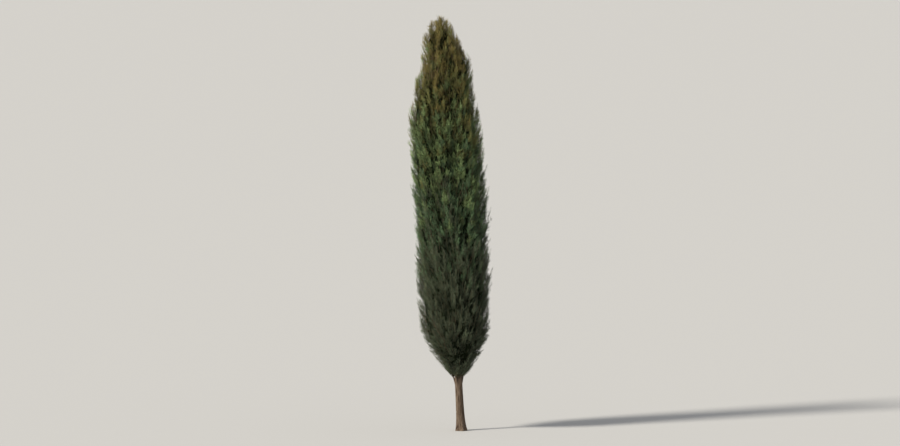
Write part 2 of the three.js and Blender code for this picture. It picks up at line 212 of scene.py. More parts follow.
# Sprays
LEAST_SPRAYS = 3
SPRAY_FIRST = 0.06  # where on a shoot its sprays begin and end
SPRAY_LAST = 0.86
SPRAY_SWING = 0.5  # how far a spray may turn from its place round its shoot, in radians
SPRAY_OPEN = (math.radians(44), math.radians(12))  # angle to the shoot, at its root and at its tip
OPEN_JITTER = 0.25
SPRAY_SHRINK = 0.62  # length of the sprays near the shoot's tip, as a share of the length near its root
SPRAY_JITTER = 0.22
SPRAY_ROLL = math.radians(50)
SPRAY_RISE = 0.16  # how far a spray's tip bends up, as a share of its length
SUNK = 0.04  # a spray whose tip is this deep in a heart is left out
SPRAY_OUTSIDE = 0.02  # a spray whose tip stands further out of the crown's surface is left out
HEART_SPRAYS = 8000
HEART_SPRAY_LENGTH = 1.1  # as a share of the other sprays' length
HEART_SPRAY_SIZES = (0.8, 1.2)
HEART_SPRAY_LEAN = (math.radians(15), math.radians(60))
HEART_SPRAY_SWING = 0.9
HEART_SPRAY_DROP = -0.08

# Shape of a spray, whose length is 1
SPRAY_KINDS = 8
AXIS_WIDEST = 0.7
AXIS_FOLD = 0.3  # how far its edges hang under its ridge, as a share of its half width
CORDS = 5  # side cords of a spray
BLADE_CORNERS = 4
CORD_CORNERS = 6  # with those of its fork
CORD_FIRST = 0.05
CORD_LAST = 0.78
CORD_SHIFT = 0.03
CORD_OPEN = (math.radians(42), math.radians(24))
CORD_OPEN_JITTER = 0.2
CORD_LENGTHS = (0.42, 0.22)
CORD_SIZES = (0.8, 1.2)
CORD_TWIST = math.radians(38)
CORD_TWISTS = (0.2, 1.4)
CORD_WIDEST = 0.68
CORD_BEND = 0.25  # how far a cord's tip bends ahead, as a share of its length
CORD_UP = np.array([0.1, 0.15, 1.0])  # the way that a cord's flat side looks, before its tilt
CORD_TILT = 0.5
FORK_FIRST = 0.4  # where on a cord its fork leaves it
FORK_OPEN = math.radians(36)
FORK_LENGTH = 0.5

# Lit and shaded copies of the leaf colours, as painted light and painted shade, and bands of colour by
# height, whose brightness is partly painted light and shade
LIT_AND_SHADED_COPIES = (("shade", 0.55), ("body", 1.0), ("light", 1.5))
SHADE_AND_TONE_LIMITS = (0.42, 0.7)
PAINTED_SHADE_DEPTH = 0.24  # depth in the crown at which a spray is darkest, as painted shade
PAINTED_SHADE_SHARE = 0.5  # shares of a spray's level that go by depth, as painted shade, and by plume and by chance, as its own tones
TONE_OWN = 0.36
TONE_CHANCE = 0.14
LIGHT_PATCH = 0.14  # how far the slow patches of painted light and shade lighten and darken the sprays
LIGHT_PATCH_TURNS = 6
LIGHT_PATCH_SLANT = 3
LIGHT_PATCH_TALL = 0.43
LIGHT_PATCH_LOW = 0.19
BANDS = ("foot", "lower", "middle", "upper", "top", "tip")
BAND_LIMITS = (3.2, 4.85, 6.5, 8.1, 9.5)
BAND_MARGIN = 1.1  # each plume's height is moved by two draws of up to this

# Bark's relief
TRUNK_BARK_SEED = 11
BOUGH_BARK_SEED = 12
FURROW_SLOPE = 4.5
FURROW_ROUND = 0.6
LEAST_STRIPS = 4
STRIP_WIDTH = 0.027
STRIP_LENGTH = 0.42
STRIP_WIND = 0.5  # how far the strips wind round the limb, in radians
WIND_COLUMNS = 3
WIND_TALL = 0.9
STRIP_SHIFT = 1.1  # how far strips are moved along the limb at most
SHIFT_TALL = 1.1
SPLIT_LENGTH = 0.6 * STRIP_LENGTH
FIBRE_LENGTH = 0.2 * STRIP_LENGTH
FIBRES = 5  # fibres across a strip
STRIP_SHARE = 0.55  # shares of the strips, splits and fibres in the bark's height
SPLIT_SHARE = 0.27
FIBRE_SHARE = 0.18
LEAST_RELIEF = 0.15  # share of the trunk's relief that is left at its tip
BOUGH_GIRTH = 0.15
BOUGH_RELIEF = 0.16  # depth of the boughs' furrows, as a share of their radius

# Tubes and hearts
BARE_TOP = 2.1  # the trunk is finest below this height, where it shows
BARE_SIDES = 312
BARE_RINGS = 270
INNER_LAP = 0.05
INNER_SIDES = 40
INNER_RINGS = 160
BOUGH_SIDES = 18
BOUGH_RINGS = 56
BOUGH_START = 0.06
COLLAR = 0.5
COLLAR_TALL = 0.12
STEM_SIDES = 7
STEM_RINGS = 18
STEM_TOP = 0.75  # how far above its mass's middle a stem ends, and the same for the mass on the tip
TIP_STEM_TOP = 0.35
STEM_TIP = 0.25
TWIG_SIDES = 3
TWIG_RINGS = 7
TWIG_RADIUS = 0.0075
TWIG_TIP = 0.0022
TWIG_BEND = 0.12
TWIG_MEETS = 0.1
TWIG_END = 0.86
SHOOT_SIDES = 3
SHOOT_RINGS = 3
SHOOT_RADIUS = 0.0034
SHOOT_TIP = 0.0012
HEART_RINGS = 30
HEART_SIDES = 30
HEART_SLIM = 0.35
HEART_STEPS = 22
HEART_FAR = 2.5
HEART_GAP = -0.03  # the hearts run into each other by this much
HEART_LUMP = 0.035
LUMP_EVEN = 0.6
LUMP_WAVE = np.array([17.0, 9, 5])
LUMP_CROSS_WAVE = np.array([-8.0, 19, 7])
LUMP_SHIFT = 1

# Finishes: roughness and specular level
BARK_FINISH = (0.92, 0.2)
TWIG_FINISH = (0.85, 0.25)
SHOOT_FINISH = (0.8, 0.25)
LEAF_FINISH = (0.65, 0.2)
HEART_FINISH = (1.0, 0.0)
FLOOR_FINISH = (0.95, 0.1)

# Noises of the materials: scale, detail, stretch
FIBRE_NOISE = (90, 6, (1, 1, 0.06))
WEATHER_NOISE = (4, 3, (1, 1, 0.5))
SPECK_NOISE = (120, 5, (1, 1, 0.35))
FIBRE_RANGE = (0.3, 0.7)
RELIEF_SHARE = 0.5  # share of the relief in the bark's colour, which darkens the furrows partly as painted shade, where the rest is its fibres
BARK_STOPS = (0.34, 0.62, 0.82)  # places of the colours of furrows, strips and ridges
WEATHER_STOPS = ((0.35, (0.55, 0.5, 0.45)), (0.65, (1, 1, 1)))
WEATHER = 0.55
SPECK_STOPS = ((0.4, 0.4), (0.54, 1), (0.66, 1.5))  # place, share of the hearts' colour
FIBRE_BUMP = 0.5
FIBRE_DEPTH = 0.003

# Stage
FLOOR_RADIUS = 4000.0
FLOOR_SIDES = 96
KEY_FROM = (-0.78, -0.5, 0.6)
FRAME_MARGIN = 1.07
CLIP_END = 9000

# A kind of plume. A fine one may cross from mass to mass, and its tip follows the grooves.
Kind = namedtuple("Kind", "seed length shoots extra fine")
MAIN = Kind(PLUME_SEED, 1, MAIN_SHOOTS, SPOT_EXTRA, False)
FINE = Kind(FINE_SEED, FINE_LENGTH, FINE_SHOOTS, FINE_EXTRA, True)


# Settings


def metres(name, description, default, **limits):
    """A length."""
    return FloatProperty(
        name=name, description=description, default=default, unit="LENGTH", subtype="DISTANCE", **limits
    )


def factor(name, description, default, **limits):
    """A share."""
    return FloatProperty(name=name, description=description, default=default, subtype="FACTOR", **limits)


def angle(name, description, degrees):
    """An angle, given in degrees."""
    return FloatProperty(name=name, description=description, default=math.radians(degrees), subtype="ANGLE")


def colour(name, description, default):
    """A colour as red, green and blue."""
    return FloatVectorProperty(name=name, description=description, default=default, subtype="COLOR", size=3)


class CypressSizes(bpy.types.PropertyGroup):
    """The tree's driving dimensions, which start out as those of its solids."""

    height: metres("Height", "From the ground to the tip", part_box("foliage_tip")[1].z, min=5)
    crown_foot: metres("Crown foot", "From the ground to the lowest foliage", 1.3)
    crown_radius: metres("Crown radius", "Reach of the foliage, without the crown's slow lobes", 0.97)
    foot_share: factor(
        "Foot's share", "Share of the crown's height in which its foot widens", 0.16, min=0.05, max=0.6
    )
    spire_share: factor(
        "Spire from", "How far up the crown it starts to draw in to its tip", 0.69, min=0.2, max=0.9
    )
    lean: metres("Lean", "How far the tip stands to the side of the foot", 0.53)
    trunk_tip: metres("Trunk tip", "Height of the trunk's own tip inside the crown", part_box("trunk")[1].z)
    trunk_radius: metres("Trunk radius", "Radius at the ground, without the root flare", 0.105)
    flare: metres("Root flare", "Extra radius of the trunk at the ground", 0.05)
    main_plumes: IntProperty(
        name="Main plumes", description="Plumes that the solids have too", default=320, min=10
    )
    fine_plumes: IntProperty(
        name="Finer plumes", description="Shorter plumes tried between them", default=2300, min=0
    )
    plume_length: metres("Plume length", "Length of a main plume where the crown is wide", 0.76)


# The same dimensions as plain numbers
Sizes = namedtuple("Sizes", list(CypressSizes.__annotations__))


class CypressFoliage(bpy.types.PropertyGroup):
    """Sizes of the sprays and their blades, and the foliage's colours by height, whose brightness is partly
    painted light and shade.
    """

    spray_length: metres("Spray length", "Length of a spray near the root of its shoot", 0.115)
    spray_spacing: metres("Spray spacing", "From one spray to the next along a shoot", 0.0325, min=0.005)
    leaf_width: factor(
        "Blade width", "Width of a spray's blades, as a share of its length", 0.05, min=0.01, max=0.3
    )
    # The bands' hues are the crown's own; their brightness, highest in the upper crown and lowest at the
    # foot, is partly painted light and painted shade
    foot: colour("Crown's foot", "Grey green of the crown's foot", (0.08, 0.1, 0.062))
    lower: colour("Lower crown", "Grey green of the lower crown", (0.096, 0.118, 0.072))
    middle: colour("Middle crown", "Cool green of the crown's middle", (0.094, 0.158, 0.078))
    upper: colour("Upper crown", "Fresh green of the upper crown", (0.178, 0.25, 0.1))
    top: colour("Top", "Olive green below the tip", (0.15, 0.15, 0.048))
    tip: colour("Tip", "Brown olive of the tree's tip", (0.185, 0.149, 0.043))
    heart: colour("Inside", "Deep shade inside the crown", (0.008, 0.011, 0.005))
    shoot: colour("Shoots", "Green brown of the plumes' shoots", (0.07, 0.075, 0.03))


class CypressBark(bpy.types.PropertyGroup):
    """Relief and colours of the bark."""

    relief: metres("Relief", "Depth of the furrows between the bark's strips", 0.012)
    ridge: colour("Ridges", "Weathered grey brown", (0.185, 0.142, 0.104))
    strip: colour("Strips", "Warm brown", (0.105, 0.073, 0.049))
    # Partly the inner bark's own colour, and partly painted shade in the furrows
    furrow: colour("Furrows", "Dark red brown", (0.028, 0.017, 0.011))
    twig: colour("Twigs", "Brown of stems and twigs", (0.11, 0.075, 0.045))


class CypressStage(bpy.types.PropertyGroup):
    """The floor, the lights and the camera."""

    floor: colour("Floor", "Pale floor", (0.5, 0.495, 0.48))
    sky: colour("Surround", "Soft light from all round", (0.93, 0.95, 1.0))
    sky_strength: FloatProperty(name="Surround strength", description="How strong it is", default=0.5)
    key: colour("Key light", "Warm light from the left", (1.0, 0.95, 0.86))
    key_strength: FloatProperty(name="Key strength", description="How strong it is", default=5.0)
    key_softness: angle("Key softness", "Apparent size of the warm light", 11)
    lens: FloatProperty(name="Lens", description="Focal length in millimetres", default=200, unit="CAMERA")
    elevation: angle("Elevation", "Camera above the horizon", 3)


class CypressSettings(bpy.types.PropertyGroup):
    """All settings of the tree."""

    sizes: PointerProperty(type=CypressSizes)
    foliage: PointerProperty(type=CypressFoliage)
    bark: PointerProperty(type=CypressBark)
    stage: PointerProperty(type=CypressStage)


# Numbers and vectors


def dealer(seed):
    """The plant's own number sequence: each draw is the last number times the multiplier, modulo the
    prime, brought to -1..1."""
    state = seed
    while True:
        state = state * MULTIPLIER % PRIME
        yield 2 * state / PRIME - 1


def swings(rng, shape=None):
    """Random draws from -1 to 1."""
    return rng.uniform(-1, 1, shape)


def mix(a, b, t):
    """a at 0, b at 1, and on a straight line between them."""
    return a + (b - a) * t


def share_of(value, start, span):
    """How far a value is past a start, as a share of a span, from 0 to 1."""
    return np.clip((value - start) / span, 0, 1)


def smooth(t):
    """From 0 to 1, level at both ends: 3 t^2 - 2 t^3."""
    return t * t * (3 - 2 * t)


def curve(a, b, c, t):
    """A parabola from a to c, drawn towards b."""
    return (1 - t) ** 2 * a + 2 * t * (1 - t) * b + t * t * c


def around(turn, reach, z):
    """Points at a turn about the plumb line, a reach out from it and a height."""
    turn, reach, z = np.broadcast_arrays(turn, reach, z)
    return np.stack([reach * np.cos(turn), reach * np.sin(turn), z], axis=-1).astype(float)


def polar(points):
    """How far points are out from the plumb line, and their turn about it."""
    return np.hypot(points[..., 0], points[..., 1]), np.arctan2(points[..., 1], points[..., 0])


def unit(vectors):
    """Vectors divided by their lengths."""
    return vectors / np.linalg.norm(vectors, axis=-1, keepdims=True)


def turned(first, second, turn):
    """Directions turned from the first towards the second: cosine of the first and sine of the second."""
    return np.cos(turn)[..., None] * first + np.sin(turn)[..., None] * second


def sideways_of(directions):
    """Two directions square to each of these and to each other."""
    first = unit(np.cross(directions, ASIDE))
    return first, np.cross(directions, first)


def leant(sizes, points):
    """The tree's lean: each point moves to -X by the lean's share of its height."""
    moved = points.copy()
    moved[..., 0] -= sizes.lean / sizes.height * points[..., 2]
    return moved


# Outlines


def trunk_radius(sizes, z, turn=0.0):
    """Tip radius plus the rest of the radius by (1 - height share) ^ taper, plus a flare that falls off as
    exp(-z / flare height) and swells over each root."""
    left = np.clip(1 - z / sizes.trunk_tip, 0, 1)
    taper = mix(TRUNK_TIP_RADIUS, sizes.trunk_radius, left**TRUNK_TAPER)
    roots = 1 + FLARE_RIPPLE * np.cos(FLARE_ROOTS * turn)
    return taper + sizes.flare * np.exp(-z / FLARE_HEIGHT) * roots


def crown_radius(sizes, z, turn):
    """A rounded foot, (1 - (1 - share)^2) ^ bulge, even sides, and a blunt spire,
    (1 - share ^ curve) ^ bulge, times one plus slow lobes and a shoulder on the +X side."""
    share = share_of(z, sizes.crown_foot, sizes.height - sizes.crown_foot)
    down = np.maximum(0, 1 - share / sizes.foot_share)
    up = np.maximum(0, share - sizes.spire_share) / (1 - sizes.spire_share)
    foot = (1 - down**2) ** FOOT_BULGE
    spire = (1 - up**SPIRE_CURVE) ** SPIRE_BULGE
    three = np.sin(3 * turn + z / LONG_SWELL + THREE_LOBES_FROM)
    two = np.sin(2 * turn - z / SHORT_SWELL + TWO_LOBES_FROM)
    off = (z - SHOULDER_HEIGHT) / SHOULDER_TALL
    shoulder = SHOULDER_OUT * np.exp(-off * off) * np.cos(turn)
    return sizes.crown_radius * foot * spire * (1 + LOBES * (three + two) + shoulder)


def core_radius(sizes, z, turn):
    """The crown's radius less the core's depth, rounded to nothing at the top."""
    radius = crown_radius(sizes, z, turn)
    over = np.clip((z - CORE_TOP + TIP_ROUND) / TIP_ROUND, 0, 1)
    return (radius - np.minimum(CORE_DEPTH, CORE_THIN * radius)) * np.sqrt(1 - over * over)


def groove_at(turn, z):
    """Depth of the grooves between the ropes: a wave round the crown, which sways and twists with height,
    squared so that the grooves are narrower than the ropes."""
    sway = ROPE_SWAY * np.sin(z / ROPE_TALL + 2 * np.sin(turn))
    wave = 0.5 + 0.5 * np.sin(ROPES * turn + ROPE_TWIST * z + sway)
    return GROOVE * wave**2


def heart_radius(sizes, z, turn):
    """The hearts lie a little inside the cores of the solids, and deeper in the grooves."""
    plain = core_radius(sizes, np.minimum(z + HEART_SINK, sizes.height), turn) - HEART_SINK
    return plain - np.minimum(groove_at(turn, z), GROOVE * np.maximum(plain, 0))


def hollow_radius(sizes, z):
    """The hollow round the trunk: an even radius, or a share of the crown's where that is less."""
    return np.minimum(HOLLOW, HOLLOW_SHARE * crown_radius(sizes, np.maximum(z, HOLLOW_LEVEL), 0.0))


# Masses and limbs


class Masses:
    """The crown's masses as arrays: the turn, reach and middle of each, the radius of its bough, and the
    heights of the bough's root on the trunk and of the stem's foot, which stands out from the trunk's line.
    Flat faces lie halfway between the middles, in a measure where heights count less."""

    def __init__(self, sizes):
        self.sizes = sizes
        jitter = dealer(MASS_SEED)
        turns, heights, boughs = [], [], []
        for _, count, height, first, bough in TIERS:
            for i in range(count):
                turns.append(math.radians(first + 360 * i / count + TURN_JITTER * next(jitter)))
                heights.append(height + HEIGHT_JITTER * next(jitter))
                boughs.append(bough)
        self.turn = np.array([*turns, 0.0])
        height = np.array([*heights, TIP_MIDDLE])
        self.reach = MIDDLE_OUT * crown_radius(sizes, height, self.turn)
        self.reach[-1] = 0
        self.bough = np.array([*boughs, TIP_BOUGH])
        self.middle = around(self.turn, self.reach, height)
        self.count = len(self.turn)
        self.tip = self.count - 1
        self._faces()
        self._limbs()

    def _faces(self):
        """The face between two masses is square to the line between their middles, its rise cut down."""
        normal = self.middle[:, None] - self.middle[None]
        normal[..., 2] *= UPRIGHT * UPRIGHT
        size = np.linalg.norm(normal, axis=-1, keepdims=True)
        normal = normal / np.where(size > 0, size, 1)
        halfway = (self.middle[:, None] + self.middle[None]) / 2
        self.normals = normal
        self.offsets = -(normal * halfway).sum(-1)
        np.fill_diagonal(self.offsets, np.inf)

    def _limbs(self):
        """A stem's foot is a little above where its mass ends, in steps down the wall of the hollow."""
        self.foot = np.full(self.count, self.sizes.trunk_tip)
        for i in range(self.tip):
            z = np.arange(self.middle[i, 2], self.sizes.crown_foot, -FOOT_STEP)
            inside = self.depth(i, around(self.turn[i], HOLLOW, z)) > CORE_GAP
            inside &= core_radius(self.sizes, z, self.turn[i]) > HOLLOW
            self.foot[i] = z[np.argmin(inside)] + FOOT_DEPTH
        self.root = self.foot - BOUGH_RISE
        self.out = hollow_radius(self.sizes, self.foot) - BOUGH_TAPER * self.bough - LIMB_CLEAR
        self.out[self.tip] = 0

    def depth(self, i, points):
        """How far inside the space of mass i points are, short of the faces to all other masses."""
        return (points @ self.normals[i].T + self.offsets[i]).min(-1)

    def owner(self, point):
        """The mass that a point is deepest in."""
        return int(np.argmax([self.depth(i, point) for i in range(self.count)]))

    def limb(self, i, z):
        """The line of bough and stem i at heights z: out from the trunk's line by the bough's curve, then
        smoothly on to the reach of the mass's middle."""
        risen = share_of(z, self.root[i], BOUGH_RISE)
        onwards = smooth(share_of(z, self.foot[i], self.middle[i, 2] - self.foot[i]))
        reach = mix(self.out[i] * risen**BOUGH_CURVE, self.reach[i], onwards)
        return around(self.turn[i], reach, z)

    def limb_radius(self, i, z):
        """The bough's radius, tapered along the bough and once more along the stem."""
        risen = share_of(z, self.root[i], BOUGH_RISE)
        onwards = share_of(z, self.foot[i], STEM_LENGTH)
        return self.bough[i] * mix(1, BOUGH_TAPER, risen) * mix(1, BOUGH_TAPER, onwards)

    def clear_of_limbs(self, points):
        """True for points that keep clear of the trunk and of all boughs."""
        z = points[:, 2]
        from_trunk = np.hypot(points[:, 0], points[:, 1]) > trunk_radius(self.sizes, z) + TRUNK_CLEAR
        clear = (z > self.sizes.trunk_tip + TRUNK_CLEAR) | from_trunk
        for i in range(self.tip):
            near = (z >= self.root[i]) & (z <= self.foot[i] + LIMB_CLEAR)
            if near.any():
                away = np.linalg.norm(self.limb(i, z) - points, axis=-1)
                clear &= ~near | (away > self.limb_radius(i, z) + LIMB_CLEAR)
        return clear

    def in_heart(self, i, points):
        """True for points in the heart of mass i. All but the tip's keep out of the hollow."""
        reach, turn = polar(points)
        z = points[..., 2]
        inside = self.depth(i, points) > HEART_GAP
        inside &= reach < heart_radius(self.sizes, z, turn)
        inside &= (z > self.sizes.crown_foot) & (z < CORE_TOP)
        if i != self.tip:
            inside &= reach > hollow_radius(self.sizes, z)
        return inside


# Plumes


class Plume:
    """A plume's root, its three directions, its length and width, its mass, and its shoots."""

    def __init__(self, root, along, across, face, length, width, mass, shoots):
        self.root, self.along, self.across, self.face = root, along, across, face
        self.length, self.width, self.mass, self.shoots = length, width, mass, shoots

    def at(self, share, side=0.0, out=0.0):
        """Point at a share of its length, a share of its half width aside, and so far out of its face."""
        step = share * self.length * self.along + side * self.width / 2 * self.across
        return self.root + step + out * self.face


def even_height(sizes, share, extra):
    """Heights that share the crown's surface out evenly, by summing its radius and an extra up the tree."""
    steps = mix(LOWEST_TIP, sizes.height, (np.arange(SPOT_STEPS) + 0.5) / SPOT_STEPS)
    sums = np.cumsum(crown_radius(sizes, steps, 0.0) + extra)
    return steps[np.searchsorted(sums, share * sums[-1])]


def plume_at(masses, turn, height, narrower, jitter, kind):
    """A plume with its tip near a spot of the crown's surface. It leans out a little from the surface
    below it, and belongs to the mass that its middle is in."""
    sizes = masses.sizes
    tip = min(height + SPOT_JITTER * next(jitter), HIGHEST_TIP)
    turn = turn + SPOT_JITTER * next(jitter) / max(crown_radius(sizes, tip, 0.0), HOLLOW)
    surface = crown_radius(sizes, tip, turn)
    reach = surface * (1 - PLUME_IN * abs(next(jitter)))
    if kind.fine:
        reach -= min(groove_at(turn, tip) + FINE_IN * next(jitter) ** 2, (GROOVE + FINE_IN) * surface)
    slope = (surface - crown_radius(sizes, tip - SLOPE_STEP, turn)) / SLOPE_STEP
    lean = max(math.atan(slope) + math.radians(PLUME_LEAN + LEAN_JITTER * next(jitter)), 0)
    face_turn = turn + FACE_JITTER * next(jitter)
    slender = mix(PLUME_SHORTEST, 1, min(reach / PLUME_FULL_REACH, 1))
    usual = sizes.plume_length * kind.length * slender * math.sqrt(narrower)
    length = min(usual * (1 + LENGTH_JITTER * next(jitter)), (tip - sizes.crown_foot) / math.cos(lean))
    out = min(math.sin(lean), max(0, reach - LEAST_SPOT) / length)
    along = around(turn, out, math.sqrt(1 - out * out))
    across = unit(np.cross(along, around(face_turn, 1, 0)))
    face = np.cross(across, along)
    root = around(turn, reach, tip) - length * along
    mass = masses.owner(root + PLUME_MIDDLE * length * along)
    return Plume(root, along, across, face, length, PLUME_WIDTH * length * narrower, mass, kind.shoots)


def twig_ends(masses, plume):
    """Where a plume's own twig leaves the stem's line, and where it has run into the plume."""
    lowest = masses.foot[plume.mass] + TWIG_LOWEST
    z = min(max(plume.root[2] - TWIG_DROP, lowest), masses.middle[plume.mass, 2])
    return masses.limb(plume.mass, z), plume.at(TWIG_INTO)


def fits(masses, plume, crosses):
    """True if a plume and its twig keep clear of the limbs, and in their mass's space unless it crosses."""
    start, end = twig_ends(masses, plume)
    thick = PLUME_THICK * plume.length / 2
    points = [mix(start, end, share) for share in TWIG_TESTS]
    points += [plume.at(PLUME_MIDDLE, 0, thick), plume.at(PLUME_MIDDLE, 0, -thick)]
    for share, side in ((0, 0), (1, 0), *PLUME_OUTLINE):
        points += [plume.at(share, side), plume.at(share, -side)]
    points = np.array(points)
    inside = crosses or (masses.depth(plume.mass, points) > PLUME_CLEAR).all()
    return bool(inside and masses.clear_of_limbs(points).all())


def spiral_plumes(masses, count, kind):
    """Plumes whose tips spiral up the crown's surface by the golden turn. One that doesn't fit is tried
    again narrower, and then left out."""
    jitter = dealer(kind.seed)
    heights = even_height(masses.sizes, (np.arange(count) + 0.5) / count, kind.extra)
    made = []
    for i, height in enumerate(heights):
        for narrower in NARROWER:
            plume = plume_at(masses, i * GOLDEN_TURN, height, narrower, jitter, kind)
            if fits(masses, plume, kind.fine):
                made.append(plume)
                break
    return made


def outward_plume(root, along, turn, length, width, mass, shoots):
    """A plume whose face looks out from the plumb line. Its width is a share of its length."""
    across = around(turn + math.pi / 2, 1, 0)
    return Plume(root, along, across, np.cross(across, along), length, width * length, mass, shoots)


def tip_plumes(masses):
    """The plumes of the tree's tip: a ring that leans out a little, and one upright."""
    made = []
    for i in range(TIP_RING + 1):
        upright = i == TIP_RING
        turn = 2 * math.pi * i / TIP_RING
        lean = 0 if upright else TIP_LEAN
        length = TIP_LENGTH * (1 if upright else TIP_SHORTER)
        along = around(turn, math.sin(lean), math.cos(lean))
        step = 0 if upright else TIP_STEP * (i - 1)
        root = np.array([0, 0, masses.sizes.height - TIP_LENGTH + step])
        made.append(outward_plume(root, along, turn, length, TIP_WIDTH, masses.tip, MAIN_SHOOTS))
    return made


def skirt_plumes(masses):
    """Short plumes from beside the trunk to the rounded foot of the crown, which close it from below."""
    sizes = masses.sizes
    rng = np.random.default_rng(FINE_SEED)
    made = []
    for i in range(SKIRT_COUNT):
        turn = i * GOLDEN_TURN
        tip_height = mix(*SKIRT_TIPS, (i + 0.5) / SKIRT_COUNT)
        reach = crown_radius(sizes, tip_height, turn) * rng.uniform(*SKIRT_REACH)
        root_height = mix(*SKIRT_ROOT, rng.uniform())
        root = around(turn, trunk_radius(sizes, root_height, turn) + SKIRT_CLEAR, root_height)
        way = around(turn, reach, tip_height) - root
        length = np.linalg.norm(way)
        mass = masses.owner(root + way)
        made.append(outward_plume(root, way / length, turn, length, SKIRT_WIDTH, mass, FINE_SHOOTS))
    return made


@lru_cache(maxsize=1)
def grown(sizes):
    """The masses and plumes of a tree of these sizes, kept so that it grows once for all operators."""
    masses = Masses(sizes)
    plumes = spiral_plumes(masses, sizes.main_plumes, MAIN)
    plumes += tip_plumes(masses)
    plumes += spiral_plumes(masses, sizes.fine_plumes, FINE)
    plumes += skirt_plumes(masses)
    return masses, plumes


# Shoots and sprays


class Shoots:
    """Every plume's shoots as arrays: a curve from a, by way of b, to c, with its plume and mass."""

    def __init__(self, plumes, rng):
        starts, bends, ends, owners = [], [], [], []
        for index, plume in enumerate(plumes):
            for share, side, span in plume.shoots:
                turn = SHOOT_SPREAD * swings(rng)
                sideways = math.cos(turn) * plume.across + math.sin(turn) * plume.face
                start = plume.at(share - span)
                lateral = side * plume.width / 2 * sideways
                rise = span * plume.length * plume.along
                starts.append(start)
                ends.append(start + rise + lateral)
                bends.append(start + BEND_UP * rise + BEND_OUT * lateral + SHOOT_WANDER * swings(rng, 3))
                owners.append(index)
        self.a, self.b, self.c = np.array(starts), np.array(bends), np.array(ends)
        self.plume = np.array(owners)
        self.mass = np.array([plumes[i].mass for i in owners])
        self.length = np.linalg.norm(self.c - self.a, axis=-1)

    def at(self, i, t):
        """Point and direction of shoots i at shares t of their curves."""
        t = t[..., None]
        a, b, c = self.a[i], self.b[i], self.c[i]
        return curve(a, b, c, t), unit((1 - t) * (b - a) + t * (c - b))


